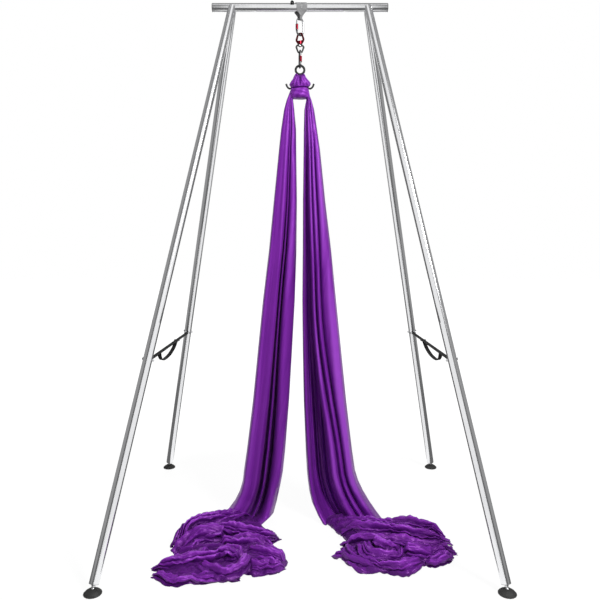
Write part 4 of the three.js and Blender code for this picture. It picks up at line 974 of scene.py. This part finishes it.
# Stitches: short threads at an even pitch along every line of the mesh they are given
threadStitches = bpy.data.node_groups.new("threadStitches", "GeometryNodeTree")
tree = threadStitches
for label, kind in (("Lines", "Geometry"), ("Pitch", "Float"), ("Length", "Float"), ("Radius", "Float"),
                    ("Thread", "Material")):
    tree.interface.new_socket(label, in_out="INPUT", socket_type="NodeSocket" + kind)
tree.interface.new_socket("Stitches", in_out="OUTPUT", socket_type="NodeSocketGeometry")
given = tree.nodes.new("NodeGroupInput").outputs
seams = addNode(tree, "GeometryNodeMeshToCurve", {"Mesh": given["Lines"]}).outputs[0]
spots = addNode(tree, "GeometryNodeCurveToPoints", {"Curve": seams, "Length": given["Pitch"]},
                mode="LENGTH").outputs
turned = addNode(tree, "FunctionNodeAlignRotationToVector", {"Vector": spots["Tangent"]}, axis="Z").outputs[0]
bead = addNode(tree, "GeometryNodeMeshUVSphere", {"Segments": 8, "Rings": 6, "Radius": 1.0}).outputs["Mesh"]
half = times(tree, given["Length"], 0.5)
thin = given["Radius"]
size = addNode(tree, "ShaderNodeCombineXYZ", {"X": thin, "Y": thin, "Z": half}).outputs[0]
thread = addNode(tree, "GeometryNodeTransform", {"Geometry": bead, "Scale": size}).outputs[0]
placed = addNode(tree, "GeometryNodeInstanceOnPoints",
                 {"Points": spots["Points"], "Instance": thread, "Rotation": turned}).outputs[0]
real = addNode(tree, "GeometryNodeRealizeInstances", {"Geometry": placed}).outputs[0]
rounded = addNode(tree, "GeometryNodeSetShadeSmooth", {"Geometry": real}).outputs[0]
dyed = addNode(tree, "GeometryNodeSetMaterial", {"Geometry": rounded, "Material": given["Thread"]}).outputs[0]
tree.links.new(dyed, tree.nodes.new("NodeGroupOutput").inputs["Stitches"])


def stitchPiece(name, lines, thread, body, pitch, length):
    edges, first = [], 0
    for line in lines:
        edges += [(first + i, first + i + 1) for i in range(len(line) - 1)]
        first += len(line)
    mesh = bpy.data.meshes.new(name)
    mesh.from_pydata([tuple(point) for line in lines for point in line], edges, [])
    piece = bpy.data.objects.new(name, mesh)
    scene.collection.objects.link(piece)
    modifier = piece.modifiers.new("stitches", "NODES")
    modifier.node_group = threadStitches
    values = {"Pitch": pitch, "Length": length, "Radius": threadSizes["radius"], "Thread": thread}
    for item in threadStitches.interface.items_tree:
        if item.in_out == "INPUT" and item.name in values:
            modifier[item.identifier] = values[item.name]
    plain = bpy.data.meshes.new_from_object(piece.evaluated_get(bpy.context.evaluated_depsgraph_get()))
    piece.modifiers.remove(modifier)
    piece.data = plain
    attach(piece, body)


slingSizes = {
    "halfWidth": 0.015, "halfThick": 0.0015, "turnOffset": 0.016, "shift": 0.003, "slant": 0.008,
    "gatherHalfWidth": 0.0055, "gatherHalfThick": 0.0026, "gatherOffset": 0.0025,
    "barDepth": 0.025,   # from the crossbar's top to its middle
    "barRadius": 0.0269, "rodRadius": 0.0083, "drop": 0.062,
    "twist": math.radians(36),
    "ribs": 0.0007,
    "seam": 0.82, "seamRows": 44, "pitch": 0.0034, "stitch": 0.0024,
}
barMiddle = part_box("crossbar")[1][2] - slingSizes["barDepth"]


def slingTurn(turn):
    # One turn of the sling: over the crossbar, down both sides, and under the carabiner's rod
    s = slingSizes
    taper = math.asin((s["barRadius"] - s["rodRadius"]) / s["drop"])

    def arc(radius, middle, first, last, count):
        angles = np.linspace(first, last, count)
        along, up = np.cos(angles), np.sin(angles)
        return np.stack([radius * along, middle + radius * up, along, up], axis=1)

    over = arc(s["barRadius"], 0, math.pi + taper, -taper, 60)
    under = arc(s["rodRadius"], -s["drop"], -taper, -math.pi + taper, 26)
    between = np.linspace(0, 1, 26)[1:-1, None]
    route = np.vstack([over[30:], over[-1] * (1 - between) + under[0] * between, under,
                       under[-1] * (1 - between) + over[0] * between, over[:30]])
    top = s["barRadius"] * math.sin(taper)
    share = np.clip((-route[:, 1] - top) / (s["drop"] - top), 0, 1)
    down = share ** 3 * (share * (share * 6 - 15) + 10)
    twist = s["twist"] * down
    offset = turn * (s["turnOffset"] * (1 - down) + s["gatherOffset"] * down)
    shift = (s["shift"] - s["slant"] * route[:, 0] / s["barRadius"]) * (1 - down)
    zero = np.zeros(len(route))
    wides = np.stack([np.cos(twist), np.sin(twist), zero], axis=1)
    deeps = np.stack([-np.sin(twist), np.cos(twist), zero], axis=1)
    outs = deeps * route[:, 2:3] + np.stack([zero, zero, route[:, 3]], axis=1)
    centres = (wides * (offset + shift)[:, None] + deeps * route[:, 0:1]
               + np.stack([zero, zero, barMiddle + route[:, 1]], axis=1))
    halfWidths = s["halfWidth"] * (1 - down) + s["gatherHalfWidth"] * down
    halfThicks = s["halfThick"] * (1 - down) + s["gatherHalfThick"] * down
    return centres, wides, outs, halfWidths, halfThicks


turns = [slingTurn(-1), slingTurn(1)]
bandPiece("sling_band", [(turn, {"closed": True, "ribs": slingSizes["ribs"]}) for turn in turns],
          greyWebbing, "sling", "sling")
slingSeams = []
for centres, wides, outs, halfWidths, halfThicks in turns:
    for edge in (-slingSizes["seam"], slingSizes["seam"]):
        lifts = (halfThicks + threadSizes["lift"])[:, None]
        line = centres + wides * (halfWidths * edge)[:, None] + outs * lifts
        slingSeams += [line[:slingSizes["seamRows"]], line[-slingSizes["seamRows"]:]]
stitchPiece("sling_stitches", slingSeams, greyThread, "sling", slingSizes["pitch"], slingSizes["stitch"])

keeperSizes = {
    "length": 0.022, "radius": 0.0115, "core": 0.0014, "turns": 6.4, "thickness": 0.0014,
    "lean": math.radians(-24), "lower": 0.007,
}


def keeperRoll():
    # The keeper: a short band rolled up tight, lying along the sling's edge
    s = keeperSizes
    low, high = (np.array(corner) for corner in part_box("sling_keeper"))
    middle = (low + high) / 2 - np.array([0, 0, s["lower"]])
    axis = np.array([0, math.cos(s["lean"]), math.sin(-s["lean"])])
    side = np.array([1.0, 0, 0])
    stand = np.cross(side, axis)
    angles = np.linspace(0, math.tau * s["turns"], 120)
    radii = np.linspace(s["core"], s["radius"] - s["thickness"] * 0.6, len(angles))
    outs = side * np.cos(angles)[:, None] + stand * np.sin(angles)[:, None]
    halfSizes = (np.full(len(angles), s[name] / 2) for name in ("length", "thickness"))
    return middle + outs * radii[:, None], np.tile(axis, (len(angles), 1)), outs, *halfSizes


bandPiece("keeper_roll", [(keeperRoll(), {})], blackWebbing, "sling", "sling_keeper")

strapSizes = {
    "halfWidth": 0.011, "halfThick": 0.001, "eyeRadius": 0.0036, "eyeLength": 0.026, "eyeSeam": 0.006,
    "tuck": 0.001,                                 # how far an eye's tip lies back in its seam
    "flare": [(0.006, 0.0006), (0.012, 0.0019)],   # how it opens past the seam: along and up
    "eyeBox": (0.001, 0.024), "slackBox": (-0.01, 0.012),   # the stitches' ends from seam and slack end
    "buckle": 0.012, "rise": 0.0029, "slackEnd": -0.278, "slackDepth": 0.064,
    "lean": 0.18143,   # the strap leans with the legs
    "clear": 0.004,    # straight strap on both sides of the buckle
    "seam": 0.7, "pitch": 0.0031, "stitch": 0.0022,
}
slackPlaces = [(0, 0), (0.04, 0.3), (0.12, 0.62), (0.3, 0.92), (0.46, 1), (0.62, 1), (0.78, 0.86),
               (0.92, 0.42), (1, 0)]
weavePlaces = [(-2, 0), (-1.3, -1), (-0.8, -1), (-0.25, 1), (0.25, 1), (0.8, -1), (1.3, -1), (2, 0)]


def sideStrap(side, name):
    # The strap between front and rear leg: its weave through the buckle, its slack loop and its eyes
    s = strapSizes
    buckle = np.mean(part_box("slide_buckle_" + name), axis=0)
    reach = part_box("side_strap_" + name)[1][1] - s["eyeRadius"] - s["halfThick"] * 2
    up = np.array([-side * math.sin(s["lean"]), 0, math.cos(s["lean"])])
    wide = np.array([math.cos(s["lean"]), 0, side * math.sin(s["lean"])])
    place = np.array([buckle[0], 0, buckle[2]])
    forth = np.array([0, 1.0, 0])

    def band(flat):
        ahead = np.gradient(flat, axis=0)
        ahead /= np.linalg.norm(ahead, axis=1)[:, None]
        count = len(flat)
        centres = place + forth * flat[:, :1] + up * flat[:, 1:2]
        outs = forth * -ahead[:, 1:2] + up * ahead[:, :1]
        halfSizes = (np.full(count, s[size]) for size in ("halfWidth", "halfThick"))
        return (centres, np.tile(wide, (count, 1)), outs, *halfSizes), {}

    root = reach - s["eyeLength"] + s["eyeSeam"] / 2
    weave = [(buckle[1] + along * s["buckle"], height * s["rise"]) for along, height in weavePlaces]
    before, after = weave[0][0] - s["clear"], weave[-1][0] + s["clear"]
    main = [(-root + (before + root) * i / 8, 0) for i in range(9)] + weave
    main += [(after + (root - after) * i / 6, 0) for i in range(7)]
    first = buckle[1] - s["buckle"] * 2
    slack = [(first + (s["slackEnd"] - first) * along, -down * s["slackDepth"])
             for along, down in slackPlaces]
    bands = [band(curveThrough(main, 260)), band(curveThrough(slack, 150))]
    for end in (-1, 1):
        around = np.linspace(math.radians(100), math.radians(-100), 30)
        middle = s["eyeRadius"] + s["halfThick"]
        arc = [(end * (reach + middle * math.cos(a)), middle * math.sin(a)) for a in around]
        tip = (end * (root - s["tuck"]), 0)
        flare = [(end * (root + along), height) for along, height in s["flare"]]
        eye = [tip] + flare + arc + [(y, -z) for y, z in reversed(flare)] + [tip]
        bands.append(band(curveThrough(eye, 90)))

    # Boxes of stitches with a diagonal, by their corners
    seams = []
    strokes = [(0, 2), (1, 3), (0, 1), (2, 3), (0, 3)]
    near, far = s["eyeBox"]
    spans = [(-root + near, -root + far), (root - far, root - near),
             [s["slackEnd"] + along for along in s["slackBox"]]]
    for low, high in spans:
        for face in (1, -1):
            lift = up * face * (s["halfThick"] + threadSizes["lift"])
            corners = [place + wide * across * s["halfWidth"] + forth * y + lift
                       for y in (low, high) for across in (-s["seam"], s["seam"])]
            seams += [[corners[a], corners[b]] for a, b in strokes]
    return bands, seams


strapSeams = []
for name, side in (("left", -1), ("right", 1)):
    bands, seams = sideStrap(side, name)
    strapSeams += seams
    bandPiece("strap_" + name, bands, blackWebbing, "frame", "side_strap_" + name)
stitchPiece("strap_stitches", strapSeams, blackThread, "frame", strapSizes["pitch"], strapSizes["stitch"])
